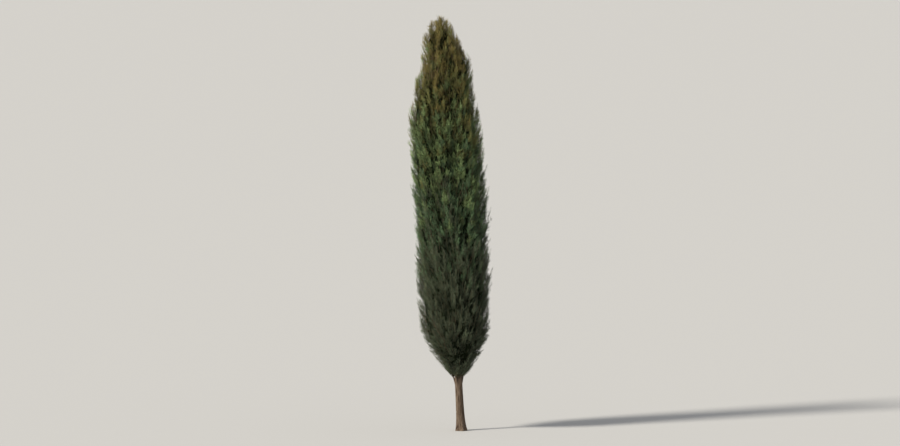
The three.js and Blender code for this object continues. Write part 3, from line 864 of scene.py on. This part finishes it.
class Sprays:
    """Every spray as arrays: root, direction, flat side, length, its level of painted shade and light mixed
    with its own tones, and the band of its colour.
    """

    def __init__(self, masses, shoots, plumes, foliage, rng):
        on_shoots = self._on_shoots(masses, shoots, foliage, rng)
        on_hearts = self._on_hearts(masses.sizes, len(plumes), foliage, rng)
        both = [np.concatenate(pair) for pair in zip(on_shoots, on_hearts)]
        self.root, self.direction, self.flat, self.length, group = both
        self._looks(masses.sizes, self.root + self.length[:, None] * self.direction, group, rng)

    def _on_shoots(self, masses, shoots, foliage, rng):
        """Sprays turn round each shoot by the golden turn, and one goes on from its end."""
        counts = np.maximum(LEAST_SPRAYS, np.round(shoots.length / foliage.spray_spacing).astype(int))
        shoot = np.repeat(np.arange(len(counts)), counts)
        count = len(shoot)
        number = np.arange(count) - np.repeat(np.cumsum(counts) - counts, counts)
        last = number == counts[shoot] - 1
        t = mix(SPRAY_FIRST, SPRAY_LAST, (number + rng.uniform(0, 1, count)) / counts[shoot])
        t[last] = SPRAY_LAST
        point, ahead = shoots.at(shoot, t)
        turn = number * GOLDEN_TURN + shoot + SPRAY_SWING * swings(rng, count)
        outward = turned(*sideways_of(ahead), turn)
        opened = mix(*SPRAY_OPEN, t) * (1 + OPEN_JITTER * swings(rng, count))
        opened[last] = 0
        direction = turned(ahead, outward, opened)
        length = foliage.spray_length * mix(1, SPRAY_SHRINK, t)
        length *= 1 + SPRAY_JITTER * swings(rng, count)
        length[last] = np.linalg.norm(shoots.c[shoot[last]] - point[last], axis=-1)
        flat = unit(np.cross(direction, outward))
        flat = turned(flat, np.cross(direction, flat), SPRAY_ROLL * swings(rng, count))
        tip = point + length[:, None] * direction
        kept = ~self._sunk(masses, shoots.mass[shoot], tip) & ~self._outside(masses.sizes, tip)
        return point[kept], direction[kept], flat[kept], length[kept], shoots.plume[shoot[kept]]

    @staticmethod
    def _on_hearts(sizes, plumes, foliage, rng):
        """Sprays in a golden spiral on the hearts, which rise and lean out of them."""
        number = np.arange(HEART_SPRAYS)
        z = even_height(sizes, (number + 0.5) / HEART_SPRAYS, FINE_EXTRA) + HEART_SPRAY_DROP
        turn = number * GOLDEN_TURN
        root = around(turn, np.maximum(heart_radius(sizes, z, turn) - HEART_LUMP, 0), z)
        lean = mix(*HEART_SPRAY_LEAN, rng.uniform(0, 1, HEART_SPRAYS))
        way = turn + HEART_SPRAY_SWING * swings(rng, HEART_SPRAYS)
        direction = around(way, np.sin(lean), np.cos(lean))
        roll = swings(rng, HEART_SPRAYS)[:, None]
        flat = unit(np.cross(direction, around(way, 1, 0)) + roll * around(way, 1, 0))
        flat = unit(flat - (flat * direction).sum(-1, keepdims=True) * direction)
        length = HEART_SPRAY_LENGTH * foliage.spray_length * rng.uniform(*HEART_SPRAY_SIZES, HEART_SPRAYS)
        return root, direction, flat, length, plumes + number

    @staticmethod
    def _sunk(masses, mass, tip):
        """True where a spray's tip is deep inside its mass's heart."""
        reach, turn = polar(tip)
        sunk = reach < heart_radius(masses.sizes, tip[:, 2], turn) - SUNK
        sunk &= reach > hollow_radius(masses.sizes, tip[:, 2]) + SUNK
        for i in range(masses.count):
            own = mass == i
            sunk[own] &= masses.depth(i, tip[own]) > CORE_GAP + SUNK
        return sunk

    @staticmethod
    def _outside(sizes, tip):
        """True where a spray's tip stands out of the crown, below the tree's own tip."""
        reach, turn = polar(tip)
        return (reach > crown_radius(sizes, tip[:, 2], turn) + SPRAY_OUTSIDE) & (tip[:, 2] < HIGHEST_TIP)

    def _looks(self, sizes, tip, group, rng):
        """Each spray's level, from dark, 0, to light, 1: painted shade deep in the crown and painted light
        near its surface, slow patches of painted light and shade over it, and tones that are each plume's
        own and each spray's by chance. Band goes by height, with a margin where bands mingle."""
        groups = group.max() + 1
        reach, turn = polar(tip)
        z = tip[:, 2]
        lit_near_surface = np.clip(1 - (crown_radius(sizes, z, turn) - reach) / PAINTED_SHADE_DEPTH, 0, 1)
        own = rng.uniform(0, 1, groups)[group]
        chance = rng.uniform(0, 1, len(group))
        light_patch = np.sin(LIGHT_PATCH_TURNS * turn + z / LIGHT_PATCH_TALL) * np.sin(z / LIGHT_PATCH_LOW - LIGHT_PATCH_SLANT * turn)
        tone = PAINTED_SHADE_SHARE * lit_near_surface + TONE_OWN * own + TONE_CHANCE * chance + LIGHT_PATCH * light_patch
        self.tone = np.searchsorted(SHADE_AND_TONE_LIMITS, tone)
        mingled = z + BAND_MARGIN * swings(rng, (2, groups)).sum(0)[group]
        self.band = np.searchsorted(BAND_LIMITS, mingled)


def spray_shape(leaf_width, rng):
    """Corners of one spray of unit length. Its axis is a blade folded along its ridge: root, edge, tip and
    other edge. Its side cords alternate: each is a slim blade, as foot, two edges and tip, with a fork from
    a point of its ridge, which ends out to one side."""
    number = np.arange(CORDS)
    start = mix(CORD_FIRST, CORD_LAST, number / (CORDS - 1)) + CORD_SHIFT * swings(rng, CORDS)
    opened = mix(*CORD_OPEN, start) * (1 + CORD_OPEN_JITTER * swings(rng, CORDS))
    twist = CORD_TWIST * np.where(number % 4 < 2, 1, -1) * rng.uniform(*CORD_TWISTS, CORDS)
    side = np.where(number % 2, 1, -1)
    length = (mix(*CORD_LENGTHS, start) * rng.uniform(*CORD_SIZES, CORDS))[:, None]
    out = np.sin(opened)
    ahead = np.stack([np.cos(opened), side * out * np.cos(twist), out * np.sin(twist)], -1)
    half = leaf_width / 2
    edge = unit(np.cross(ahead, unit(CORD_UP + CORD_TILT * swings(rng, (CORDS, 3)))))
    edge *= np.where(swings(rng, (CORDS, 1)) > 0, 1, -1)
    foot = np.stack([start, 0 * start, 0 * start], -1)
    widest = foot + CORD_WIDEST * length * ahead
    tip = foot + length * unit(ahead + CORD_BEND * np.array([1, 0, 0]))
    fork = foot + FORK_FIRST * length * ahead
    fork_tip = fork + FORK_LENGTH * length * (math.cos(FORK_OPEN) * ahead + math.sin(FORK_OPEN) * edge)
    cords = np.stack([foot, widest + half * edge, tip, widest - half * edge, fork, fork_tip], axis=1)
    low = -AXIS_FOLD * half
    axis = np.array([[0, 0, 0], [AXIS_WIDEST, half, low], [1, 0, 0], [AXIS_WIDEST, -half, low]])
    return np.concatenate([axis, cords.reshape(-1, 3)])


def spray_parts(forked):
    """Which corners of a spray are used, and its triangles: two for its axis and two for each side cord,
    and one more for a cord with its fork. The sprays in the shade go without forks."""
    blade = np.array([[0, 1, 2], [0, 2, 3]])
    cord = np.concatenate([blade, [[4, 1, 5]]]) if forked else blade
    corners = CORD_CORNERS if forked else BLADE_CORNERS
    used = BLADE_CORNERS + np.arange(CORDS * CORD_CORNERS).reshape(CORDS, CORD_CORNERS)[:, :corners].ravel()
    used = np.concatenate([np.arange(BLADE_CORNERS), used])
    return used, np.concatenate([blade, BLADE_CORNERS + repeated(cord, CORDS, corners)])


def spray_points(sprays, chosen, foliage, rng):
    """Corners of the chosen sprays (spray, corner, 3): each spray's shape turned to its direction and flat
    side, scaled to its length, with its tip bent up by the square of the share along it."""
    shapes = np.array([spray_shape(foliage.leaf_width, rng) for _ in range(SPRAY_KINDS)])
    shape = shapes[rng.integers(0, SPRAY_KINDS, len(chosen))]
    direction, flat = sprays.direction[chosen], sprays.flat[chosen]
    axes = np.stack([direction, flat, np.cross(direction, flat)], axis=1)
    length = sprays.length[chosen][:, None, None]
    points = np.einsum("ncx,nxd->ncd", shape, axes) * length
    points[..., 2] += SPRAY_RISE * length[..., 0] * shape[..., 0] ** 2
    return points + sprays.root[chosen][:, None]


# Meshes


def ring_faces(rings, sides):
    """Triangles of a closed tube: rings of corners joined round and up, with a fan over each end."""
    ring, side = np.meshgrid(np.arange(rings - 1), np.arange(sides), indexing="ij")
    here, right = ring * sides + side, ring * sides + (side + 1) % sides
    walls = np.stack([here, right, right + sides, here, right + sides, here + sides], -1).reshape(-1, 3)
    fan = np.arange(1, sides - 1)
    foot = np.stack([np.zeros_like(fan), fan + 1, fan], -1)
    head = np.stack([np.zeros_like(fan), fan, fan + 1], -1) + (rings - 1) * sides
    return np.concatenate([walls, foot, head])


def repeated(faces, count, corners):
    """The same triangles for each of many like shapes."""
    return (faces[None] + corners * np.arange(count)[:, None, None]).reshape(-1, 3)


def tubes(paths, radii, sides):
    """Round tubes along paths (tube, ring, 3) with radii (tube, ring): corners and triangles."""
    first, second = sideways_of(unit(np.gradient(paths, axis=1)))
    turn = 2 * np.pi * np.arange(sides) / sides
    rings = turned(first[:, :, None], second[:, :, None], turn)
    points = paths[:, :, None] + radii[:, :, None, None] * rings
    faces = repeated(ring_faces(paths.shape[1], sides), len(paths), paths.shape[1] * sides)
    return points.reshape(-1, 3), faces


def placed(name, data):
    """A new object of this data in the scene."""
    made = bpy.data.objects.new(name, data)
    bpy.context.scene.collection.objects.link(made)
    return made


def add_piece(name, points, faces, material, replaced, flat=False):
    """Puts triangles into a new object that stands for the named solids."""
    mesh = bpy.data.meshes.new(name)
    mesh.vertices.add(len(points))
    mesh.vertices.foreach_set("co", np.ascontiguousarray(points, np.float32).ravel())
    mesh.loops.add(3 * len(faces))
    mesh.loops.foreach_set("vertex_index", np.ascontiguousarray(faces, np.int32).ravel())
    mesh.polygons.add(len(faces))
    mesh.polygons.foreach_set("loop_start", np.arange(0, 3 * len(faces), 3, dtype=np.int32))
    mesh.polygons.foreach_set("use_smooth", np.full(len(faces), not flat))
    mesh.update(calc_edges=True)
    mesh.materials.append(material)
    piece = placed(name, mesh)
    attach(piece, BODY)
    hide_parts(*replaced)
    return piece


# Bark's relief


def strands(turn, z, count, tall, rng):
    """Value noise on the trunk's skin, from 0 to 1: random heights on a lattice of count columns round the
    trunk and rows a tall step apart, smoothly joined. It closes round the trunk."""
    rows = int(np.ceil(z.max() / tall)) + 2
    lattice = rng.uniform(0, 1, (rows, count))
    across = (turn / (2 * np.pi) * count) % count
    up = z / tall
    column, row = np.floor(across).astype(int), np.clip(np.floor(up).astype(int), 0, rows - 2)
    s, t = smooth(across - column), smooth(np.clip(up - row, 0, 1))
    right = (column + 1) % count
    column = column % count
    low = mix(lattice[row, column], lattice[row, right], s)
    high = mix(lattice[row + 1, column], lattice[row + 1, right], s)
    return mix(low, high, t)


def furrowed(value):
    """0 in furrows, along the lines where the noise crosses its middle, and 1 on the flat strips between."""
    return np.minimum(1, FURROW_SLOPE * np.abs(2 * value - 1)) ** FURROW_ROUND


def bark_height(turn, z, girth, rng):
    """Height of the bark from 0, furrow, to 1, ridge: long strips with furrows between them, shallower
    splits and fine fibres. Girth, in metres, sets how many strips fit round the limb. The strips wind a
    little, and start at heights of their own."""
    wide = max(LEAST_STRIPS, round(girth / STRIP_WIDTH))
    wind = turn + STRIP_WIND * strands(turn, z, WIND_COLUMNS, WIND_TALL, rng)
    risen = z + STRIP_SHIFT * strands(turn, z, wide // 2, SHIFT_TALL, rng)
    strips = furrowed(strands(wind, risen, wide, STRIP_LENGTH, rng))
    splits = furrowed(strands(wind, risen, 2 * wide + 1, SPLIT_LENGTH, rng))
    fibres = strands(wind, risen, FIBRES * wide, FIBRE_LENGTH, rng)
    return np.clip(STRIP_SHARE * strips + SPLIT_SHARE * splits + FIBRE_SHARE * fibres, 0, 1)


def keep_height(piece, height):
    """Keeps the bark's height on a piece's corners, for its material."""
    attribute = piece.data.attributes.new("bark_height", "FLOAT", "POINT")
    attribute.data.foreach_set("value", np.ascontiguousarray(height, np.float32).ravel())


# Materials


def new_material(name, finish):
    """A new material, its node tree and its Principled shader, with roughness and specular level set."""
    material = bpy.data.materials.new(name)
    material.use_nodes = True
    shader = material.node_tree.nodes["Principled BSDF"]
    roughness, specular = finish
    shader.inputs["Roughness"].default_value = roughness
    shader.inputs["Specular IOR Level"].default_value = specular
    return material, material.node_tree, shader


def plain_material(name, tint, finish):
    """One colour all over."""
    material, _, shader = new_material(name, finish)
    shader.inputs["Base Color"].default_value = (*tint, 1)
    return material


def ramp_of(tree, factor_socket, stops):
    """A colour ramp with (place, colour) stops, driven by a socket. New stops start halfway, and each is
    then put in its place."""
    ramp = tree.nodes.new("ShaderNodeValToRGB")
    elements = ramp.color_ramp.elements
    while len(elements) < len(stops):
        elements.new(0.5)
    for element, (place, tint) in zip(elements, stops):
        element.position = place
        element.color = (*tint, 1)
    tree.links.new(factor_socket, ramp.inputs["Fac"])
    return ramp.outputs["Color"]


def noise_of(tree, scale, detail, stretch):
    """Noise on the object's own coordinates, stretched along an axis where its scale is under 1."""
    place = tree.nodes.new("ShaderNodeTexCoord")
    mapping = tree.nodes.new("ShaderNodeMapping")
    mapping.inputs["Scale"].default_value = stretch
    noise = tree.nodes.new("ShaderNodeTexNoise")
    noise.inputs["Scale"].default_value = scale
    noise.inputs["Detail"].default_value = detail
    tree.links.new(place.outputs["Object"], mapping.inputs["Vector"])
    tree.links.new(mapping.outputs["Vector"], noise.inputs["Vector"])
    return noise.outputs["Fac"]


def fibres_of(tree):
    """Long fibres from 0 to 1: noise stretched upwards, with its middle range spread out."""
    spread = tree.nodes.new("ShaderNodeMapRange")
    spread.inputs["From Min"].default_value = FIBRE_RANGE[0]
    spread.inputs["From Max"].default_value = FIBRE_RANGE[1]
    tree.links.new(noise_of(tree, *FIBRE_NOISE), spread.inputs["Value"])
    return spread.outputs["Result"]


def bark_material(bark):
    """Furrow, strip and ridge colours by the relief's own height, the furrows darkest, partly as the inner
    bark's own dark red brown and partly as painted shade, broken up by long fibres, with pale weathered
    patches and a fine fibrous bump."""
    material, tree, shader = new_material("cypress_bark", BARK_FINISH)
    height = tree.nodes.new("ShaderNodeAttribute")
    height.attribute_name = "bark_height"
    fibres = fibres_of(tree)
    both = tree.nodes.new("ShaderNodeMix")
    both.inputs["Factor"].default_value = RELIEF_SHARE
    tree.links.new(fibres, both.inputs["A"])
    tree.links.new(height.outputs["Fac"], both.inputs["B"])
    stops = list(zip(BARK_STOPS, (bark.furrow, bark.strip, bark.ridge)))
    pale = tree.nodes.new("ShaderNodeMix")
    pale.data_type = "RGBA"
    pale.blend_type = "MULTIPLY"
    pale.inputs["Factor"].default_value = WEATHER
    tree.links.new(ramp_of(tree, both.outputs["Result"], stops), pale.inputs["A"])
    tree.links.new(ramp_of(tree, noise_of(tree, *WEATHER_NOISE), WEATHER_STOPS), pale.inputs["B"])
    tree.links.new(pale.outputs["Result"], shader.inputs["Base Color"])
    bump = tree.nodes.new("ShaderNodeBump")
    bump.inputs["Strength"].default_value = FIBRE_BUMP
    bump.inputs["Distance"].default_value = FIBRE_DEPTH
    tree.links.new(fibres, bump.inputs["Height"])
    tree.links.new(bump.outputs["Normal"], shader.inputs["Normal"])
    return material


def shared_bark(settings):
    """The bark that trunk and boughs share."""
    return bpy.data.materials.get("cypress_bark") or bark_material(settings.bark)


def heart_material(foliage):
    """Deep shade, with darker and lighter specks that are long upwards, like inner leaves."""
    material, tree, shader = new_material("cypress_heart", HEART_FINISH)
    stops = [(place, share * np.array(foliage.heart)) for place, share in SPECK_STOPS]
    tree.links.new(ramp_of(tree, noise_of(tree, *SPECK_NOISE), stops), shader.inputs["Base Color"])
    return material


# Operators


def sizes_of(settings):
    """The sizes as plain numbers."""
    return Sizes(*(getattr(settings.sizes, name) for name in Sizes._fields))


def tree_of(context):
    """The settings, the sizes, and the masses and plumes that grow from them."""
    settings = context.scene.cypress
    sizes = sizes_of(settings)
    return settings, sizes, *grown(sizes)


class CYPRESS_OT_trunk(bpy.types.Operator):
    """Trunk with its bark in relief, in place of the trunk's solid"""

    bl_idname = "cypress.trunk"
    bl_label = "Trunk"

    def execute(self, context):
        settings = context.scene.cypress
        sizes = sizes_of(settings)
        rng = np.random.default_rng(TRUNK_BARK_SEED)
        relief = settings.bark.relief
        inner_span = (BARE_TOP - INNER_LAP, sizes.trunk_tip)
        bare, bare_height = self.tube(sizes, relief, (0, BARE_TOP), BARE_RINGS, BARE_SIDES, rng)
        inner, inner_height = self.tube(sizes, relief, inner_span, INNER_RINGS, INNER_SIDES, rng)
        points = leant(sizes, np.concatenate([bare, inner]))
        faces = [ring_faces(BARE_RINGS, BARE_SIDES), ring_faces(INNER_RINGS, INNER_SIDES) + len(bare)]
        material = shared_bark(settings)
        piece = add_piece("trunk_bark", points, np.concatenate(faces), material, ["trunk"])
        keep_height(piece, np.concatenate([bare_height, inner_height]))
        return {"FINISHED"}

    @staticmethod
    def tube(sizes, relief, span, rings, sides, rng):
        """Corners and bark heights of a stretch of trunk: its outline less the relief where the bark is
        low. The relief gets shallower with the trunk's taper."""
        turn = 2 * np.pi * np.arange(sides) / sides
        z, turn = np.meshgrid(np.linspace(*span, rings), turn, indexing="ij")
        height = bark_height(turn, z, 2 * np.pi * sizes.trunk_radius, rng)
        plain = trunk_radius(sizes, z, turn)
        depth = relief * np.clip(plain / sizes.trunk_radius, LEAST_RELIEF, 1)
        return around(turn, plain - depth * (1 - height), z).reshape(-1, 3), height.ravel()


class CYPRESS_OT_boughs(bpy.types.Operator):
    """Main boughs with their bark in relief, in place of the boughs' solids"""

    bl_idname = "cypress.boughs"
    bl_label = "Main boughs"

    def execute(self, context):
        settings, sizes, masses, _ = tree_of(context)
        rng = np.random.default_rng(BOUGH_BARK_SEED)
        share = np.linspace(0, 1, BOUGH_RINGS)[:, None]
        turn = 2 * np.pi * np.arange(BOUGH_SIDES)[None] / BOUGH_SIDES
        made, heights = [], []
        for i in range(masses.tip):
            z = mix(masses.root[i] + BOUGH_START, masses.foot[i], share)
            height = bark_height(*np.broadcast_arrays(turn, z - masses.root[i]), BOUGH_GIRTH, rng)
            collar = 1 + COLLAR * np.exp(-(z - masses.root[i] - BOUGH_START) / COLLAR_TALL)
            radius = masses.limb_radius(i, z) * collar * (1 - BOUGH_RELIEF * (1 - height))
            made.append(masses.limb(i, z) + around(turn, radius, 0))
            heights.append(height)
        points = leant(sizes, np.array(made)).reshape(-1, 3)
        faces = repeated(ring_faces(BOUGH_RINGS, BOUGH_SIDES), masses.tip, BOUGH_RINGS * BOUGH_SIDES)
        piece = add_piece("boughs_bark", points, faces, shared_bark(settings), BOUGH_NODES)
        keep_height(piece, np.array(heights))
        return {"FINISHED"}


class CYPRESS_OT_hearts(bpy.types.Operator):
    """The dense heart of each mass of foliage, which the plumes stand out of: near black, partly as its dark
    inner twigs and partly as painted deep shade
    """

    bl_idname = "cypress.hearts"
    bl_label = "Hearts"

    def execute(self, context):
        settings, sizes, masses, _ = tree_of(context)
        tilt = np.pi * (np.arange(HEART_RINGS) + 0.5) / HEART_RINGS
        turn = 2 * np.pi * np.arange(HEART_SIDES) / HEART_SIDES
        tilt, turn = np.meshgrid(np.pi - tilt, turn, indexing="ij")
        rays = unit(around(turn, HEART_SLIM * np.sin(tilt), np.cos(tilt)))
        made = [self.surface(masses, i, rays) for i in range(masses.count)]
        points = leant(sizes, np.array(made)).reshape(-1, 3)
        faces = repeated(ring_faces(HEART_RINGS, HEART_SIDES), masses.count, HEART_RINGS * HEART_SIDES)
        add_piece("hearts", points, faces, heart_material(settings.foliage), FOLIAGE_NODES)
        return {"FINISHED"}

    @staticmethod
    def surface(masses, i, rays):
        """Where rays from a mass's middle leave its heart, found by halving the distance again and again,
        with lumps on it: two waves across each other, times an even depth. Short rays have no lumps."""
        near, far = np.zeros(rays.shape[:2]), np.full(rays.shape[:2], HEART_FAR)
        for _ in range(HEART_STEPS):
            halfway = (near + far) / 2
            inside = masses.in_heart(i, masses.middle[i] + halfway[..., None] * rays)
            near, far = np.where(inside, halfway, near), np.where(inside, far, halfway)
        points = masses.middle[i] + near[..., None] * rays
        waves = np.sin(points @ LUMP_WAVE) * np.sin(points @ LUMP_CROSS_WAVE + LUMP_SHIFT)
        lumps = HEART_LUMP * (LUMP_EVEN + (1 - LUMP_EVEN) * waves[..., None])
        return points - lumps * rays * (near[..., None] > 2 * HEART_LUMP)


class CYPRESS_OT_twigs(bpy.types.Operator):
    """Each mass's stem, the twigs from it to the plumes, and the plumes' shoots"""

    bl_idname = "cypress.twigs"
    bl_label = "Stems and twigs"

    def execute(self, context):
        settings, sizes, masses, plumes = tree_of(context)
        wood = plain_material("cypress_twig", settings.bark.twig, TWIG_FINISH)
        green = plain_material("cypress_green_twig", settings.foliage.shoot, SHOOT_FINISH)
        for name, (points, faces), material, slot in (
            ("stems", self.stems(masses), wood, "bark"),
            ("twigs", self.twigs(masses, plumes), wood, "bark"),
            ("shoots", self.shoots(plumes), green, "foliage"),
        ):
            add_piece(name, leant(sizes, points), faces, material, FOLIAGE_NODES)
        return {"FINISHED"}

    @staticmethod
    def stems(masses):
        """Each stem goes on from its bough's tip along the limb's line, up into the top of its mass."""
        lines, radii = [], []
        for i in range(masses.count):
            over = TIP_STEM_TOP if i == masses.tip else STEM_TOP
            z = np.linspace(masses.foot[i], masses.middle[i, 2] + over, STEM_RINGS)
            lines.append(masses.limb(i, z))
            radii.append(masses.limb_radius(i, z) * np.linspace(1, STEM_TIP, STEM_RINGS))
        return tubes(np.array(lines), np.array(radii), STEM_SIDES)

    @staticmethod
    def twigs(masses, plumes):
        """Each plume's twig bends up from the stem to the plume's root and runs on inside it."""
        share = np.linspace(0, 1, TWIG_RINGS)[:, None]
        lines = []
        for plume in plumes:
            start, _ = twig_ends(masses, plume)
            to_plume = curve(start, plume.root - TWIG_BEND * plume.along, plume.at(TWIG_MEETS), share)
            in_plume = mix(plume.root, plume.at(TWIG_END), share)
            lines.append(mix(to_plume, in_plume, smooth(share)))
        radii = np.broadcast_to(np.linspace(TWIG_RADIUS, TWIG_TIP, TWIG_RINGS), (len(lines), TWIG_RINGS))
        return tubes(np.array(lines), radii, TWIG_SIDES)

    @staticmethod
    def shoots(plumes):
        """A tube along each shoot's curve, up to its last spray."""
        shoots = Shoots(plumes, np.random.default_rng(GROWTH_SEED))
        t = np.broadcast_to(np.linspace(0, SPRAY_LAST, SHOOT_RINGS), (len(shoots.a), SHOOT_RINGS))
        lines, _ = shoots.at(np.arange(len(shoots.a))[:, None], t)
        radii = np.broadcast_to(np.linspace(SHOOT_RADIUS, SHOOT_TIP, SHOOT_RINGS), t.shape)
        return tubes(lines, radii, SHOOT_SIDES)


class CYPRESS_OT_foliage(bpy.types.Operator):
    """Sprays of leaves on every shoot, dealt out to pieces by their height and by lit and shaded copies of
    each colour, as painted light and painted shade
    """

    bl_idname = "cypress.foliage"
    bl_label = "Foliage"

    def execute(self, context):
        settings, sizes, masses, plumes = tree_of(context)
        foliage = settings.foliage
        rng = np.random.default_rng(GROWTH_SEED)
        sprays = Sprays(masses, Shoots(plumes, rng), plumes, foliage, rng)
        for band, name in enumerate(BANDS):
            for tone, (shade, light_and_shade_factor) in enumerate(LIT_AND_SHADED_COPIES):
                chosen = np.flatnonzero((sprays.band == band) & (sprays.tone == tone))
                used, triangles = spray_parts(forked=tone > 0)
                points = leant(sizes, spray_points(sprays, chosen, foliage, rng)[:, used])
                faces = repeated(triangles, points.shape[0], points.shape[1])
                # The band's colour made lighter and darker: painted light and painted shade
                tint = light_and_shade_factor * np.array(getattr(foliage, name))
                material = plain_material(f"cypress_{name}_{shade}", tint, LEAF_FINISH)
                piece = f"leaves_{name}_{shade}"
                add_piece(piece, points.reshape(-1, 3), faces, material, FOLIAGE_NODES, flat=True)
        return {"FINISHED"}


class CYPRESS_OT_stage(bpy.types.Operator):
    """Pale floor, soft light and a camera at the photo's viewing angle"""

    bl_idname = "cypress.stage"
    bl_label = "Stage"

    def execute(self, context):
        stage = context.scene.cypress.stage
        self.floor(stage)
        world = bpy.data.worlds.new("surround")
        world.use_nodes = True
        background = world.node_tree.nodes["Background"]
        background.inputs["Color"].default_value = (*stage.sky, 1)
        background.inputs["Strength"].default_value = stage.sky_strength
        context.scene.world = world
        context.scene.view_settings.view_transform = "Standard"
        self.sun("key", stage.key, stage.key_strength, stage.key_softness, KEY_FROM)
        self.camera(context.scene, stage)
        return {"FINISHED"}

    @staticmethod
    def floor(stage):
        """A wide flat disc at ground level."""
        turn = 2 * np.pi * np.arange(FLOOR_SIDES) / FLOOR_SIDES
        mesh = bpy.data.meshes.new("floor")
        mesh.from_pydata(around(turn, FLOOR_RADIUS, 0.0), [], [list(range(FLOOR_SIDES))])
        mesh.materials.append(plain_material("floor", stage.floor, FLOOR_FINISH))
        floor = placed("floor", mesh)
        floor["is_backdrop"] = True

    @staticmethod
    def sun(name, tint, strength, softness, place):
        """A distant light that shines from a place towards the origin."""
        light = bpy.data.lights.new(name, "SUN")
        light.color = tint
        light.energy = strength
        light.angle = softness
        lamp = placed(name, light)
        lamp.rotation_mode = "QUATERNION"
        lamp.rotation_quaternion = Vector(place).to_track_quat("Z", "Y")

    @staticmethod
    def camera(scene, stage):
        """Far enough back for the tree to fill most of the frame's height."""
        low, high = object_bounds()
        data = bpy.data.cameras.new("camera")
        data.lens = stage.lens
        data.clip_end = CLIP_END
        half = data.sensor_width / 2 / data.lens * PHOTO_SIZE[1] / PHOTO_SIZE[0]
        back = Vector((0, -math.cos(stage.elevation), math.sin(stage.elevation)))
        camera = placed("camera", data)
        camera.rotation_mode = "QUATERNION"
        camera.rotation_quaternion = (-back).to_track_quat("-Z", "Y")
        camera.location = (low + high) / 2 + back * ((high.z - low.z) / 2 * FRAME_MARGIN / half)
        scene.camera = camera


PIECES = (CYPRESS_OT_trunk, CYPRESS_OT_boughs, CYPRESS_OT_hearts, CYPRESS_OT_twigs, CYPRESS_OT_foliage)


class CYPRESS_PT_panel(bpy.types.Panel):
    """Settings and pieces of the cypress"""

    bl_idname = "CYPRESS_PT_panel"
    bl_label = "Pencil cypress"
    bl_space_type = "VIEW_3D"
    bl_region_type = "UI"
    bl_category = "Cypress"

    def draw(self, context):
        settings = context.scene.cypress
        for name in CypressSettings.__annotations__:
            group = getattr(settings, name)
            box = self.layout.box()
            box.label(text=name.capitalize())
            for key in group.__annotations__:
                box.prop(group, key)
        for operator in (*PIECES, CYPRESS_OT_stage):
            self.layout.operator(operator.bl_idname)


CLASSES = (
    CypressSizes,
    CypressFoliage,
    CypressBark,
    CypressStage,
    CypressSettings,
    *PIECES,
    CYPRESS_OT_stage,
    CYPRESS_PT_panel,
)


def register():
    """Registers the classes, and puts the settings on the scene."""
    for made in CLASSES:
        bpy.utils.register_class(made)
    bpy.types.Scene.cypress = PointerProperty(type=CypressSettings)


def unregister():
    """Takes the settings and the classes away again, in the opposite order."""
    del bpy.types.Scene.cypress
    for made in reversed(CLASSES):
        bpy.utils.unregister_class(made)


def main():
    """Makes all pieces and the stage."""
    register()
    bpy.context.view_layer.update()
    for operator in (*PIECES, CYPRESS_OT_stage):
        getattr(bpy.ops.cypress, operator.bl_idname.split(".")[1])()


if __name__ == "__main__":
    main()
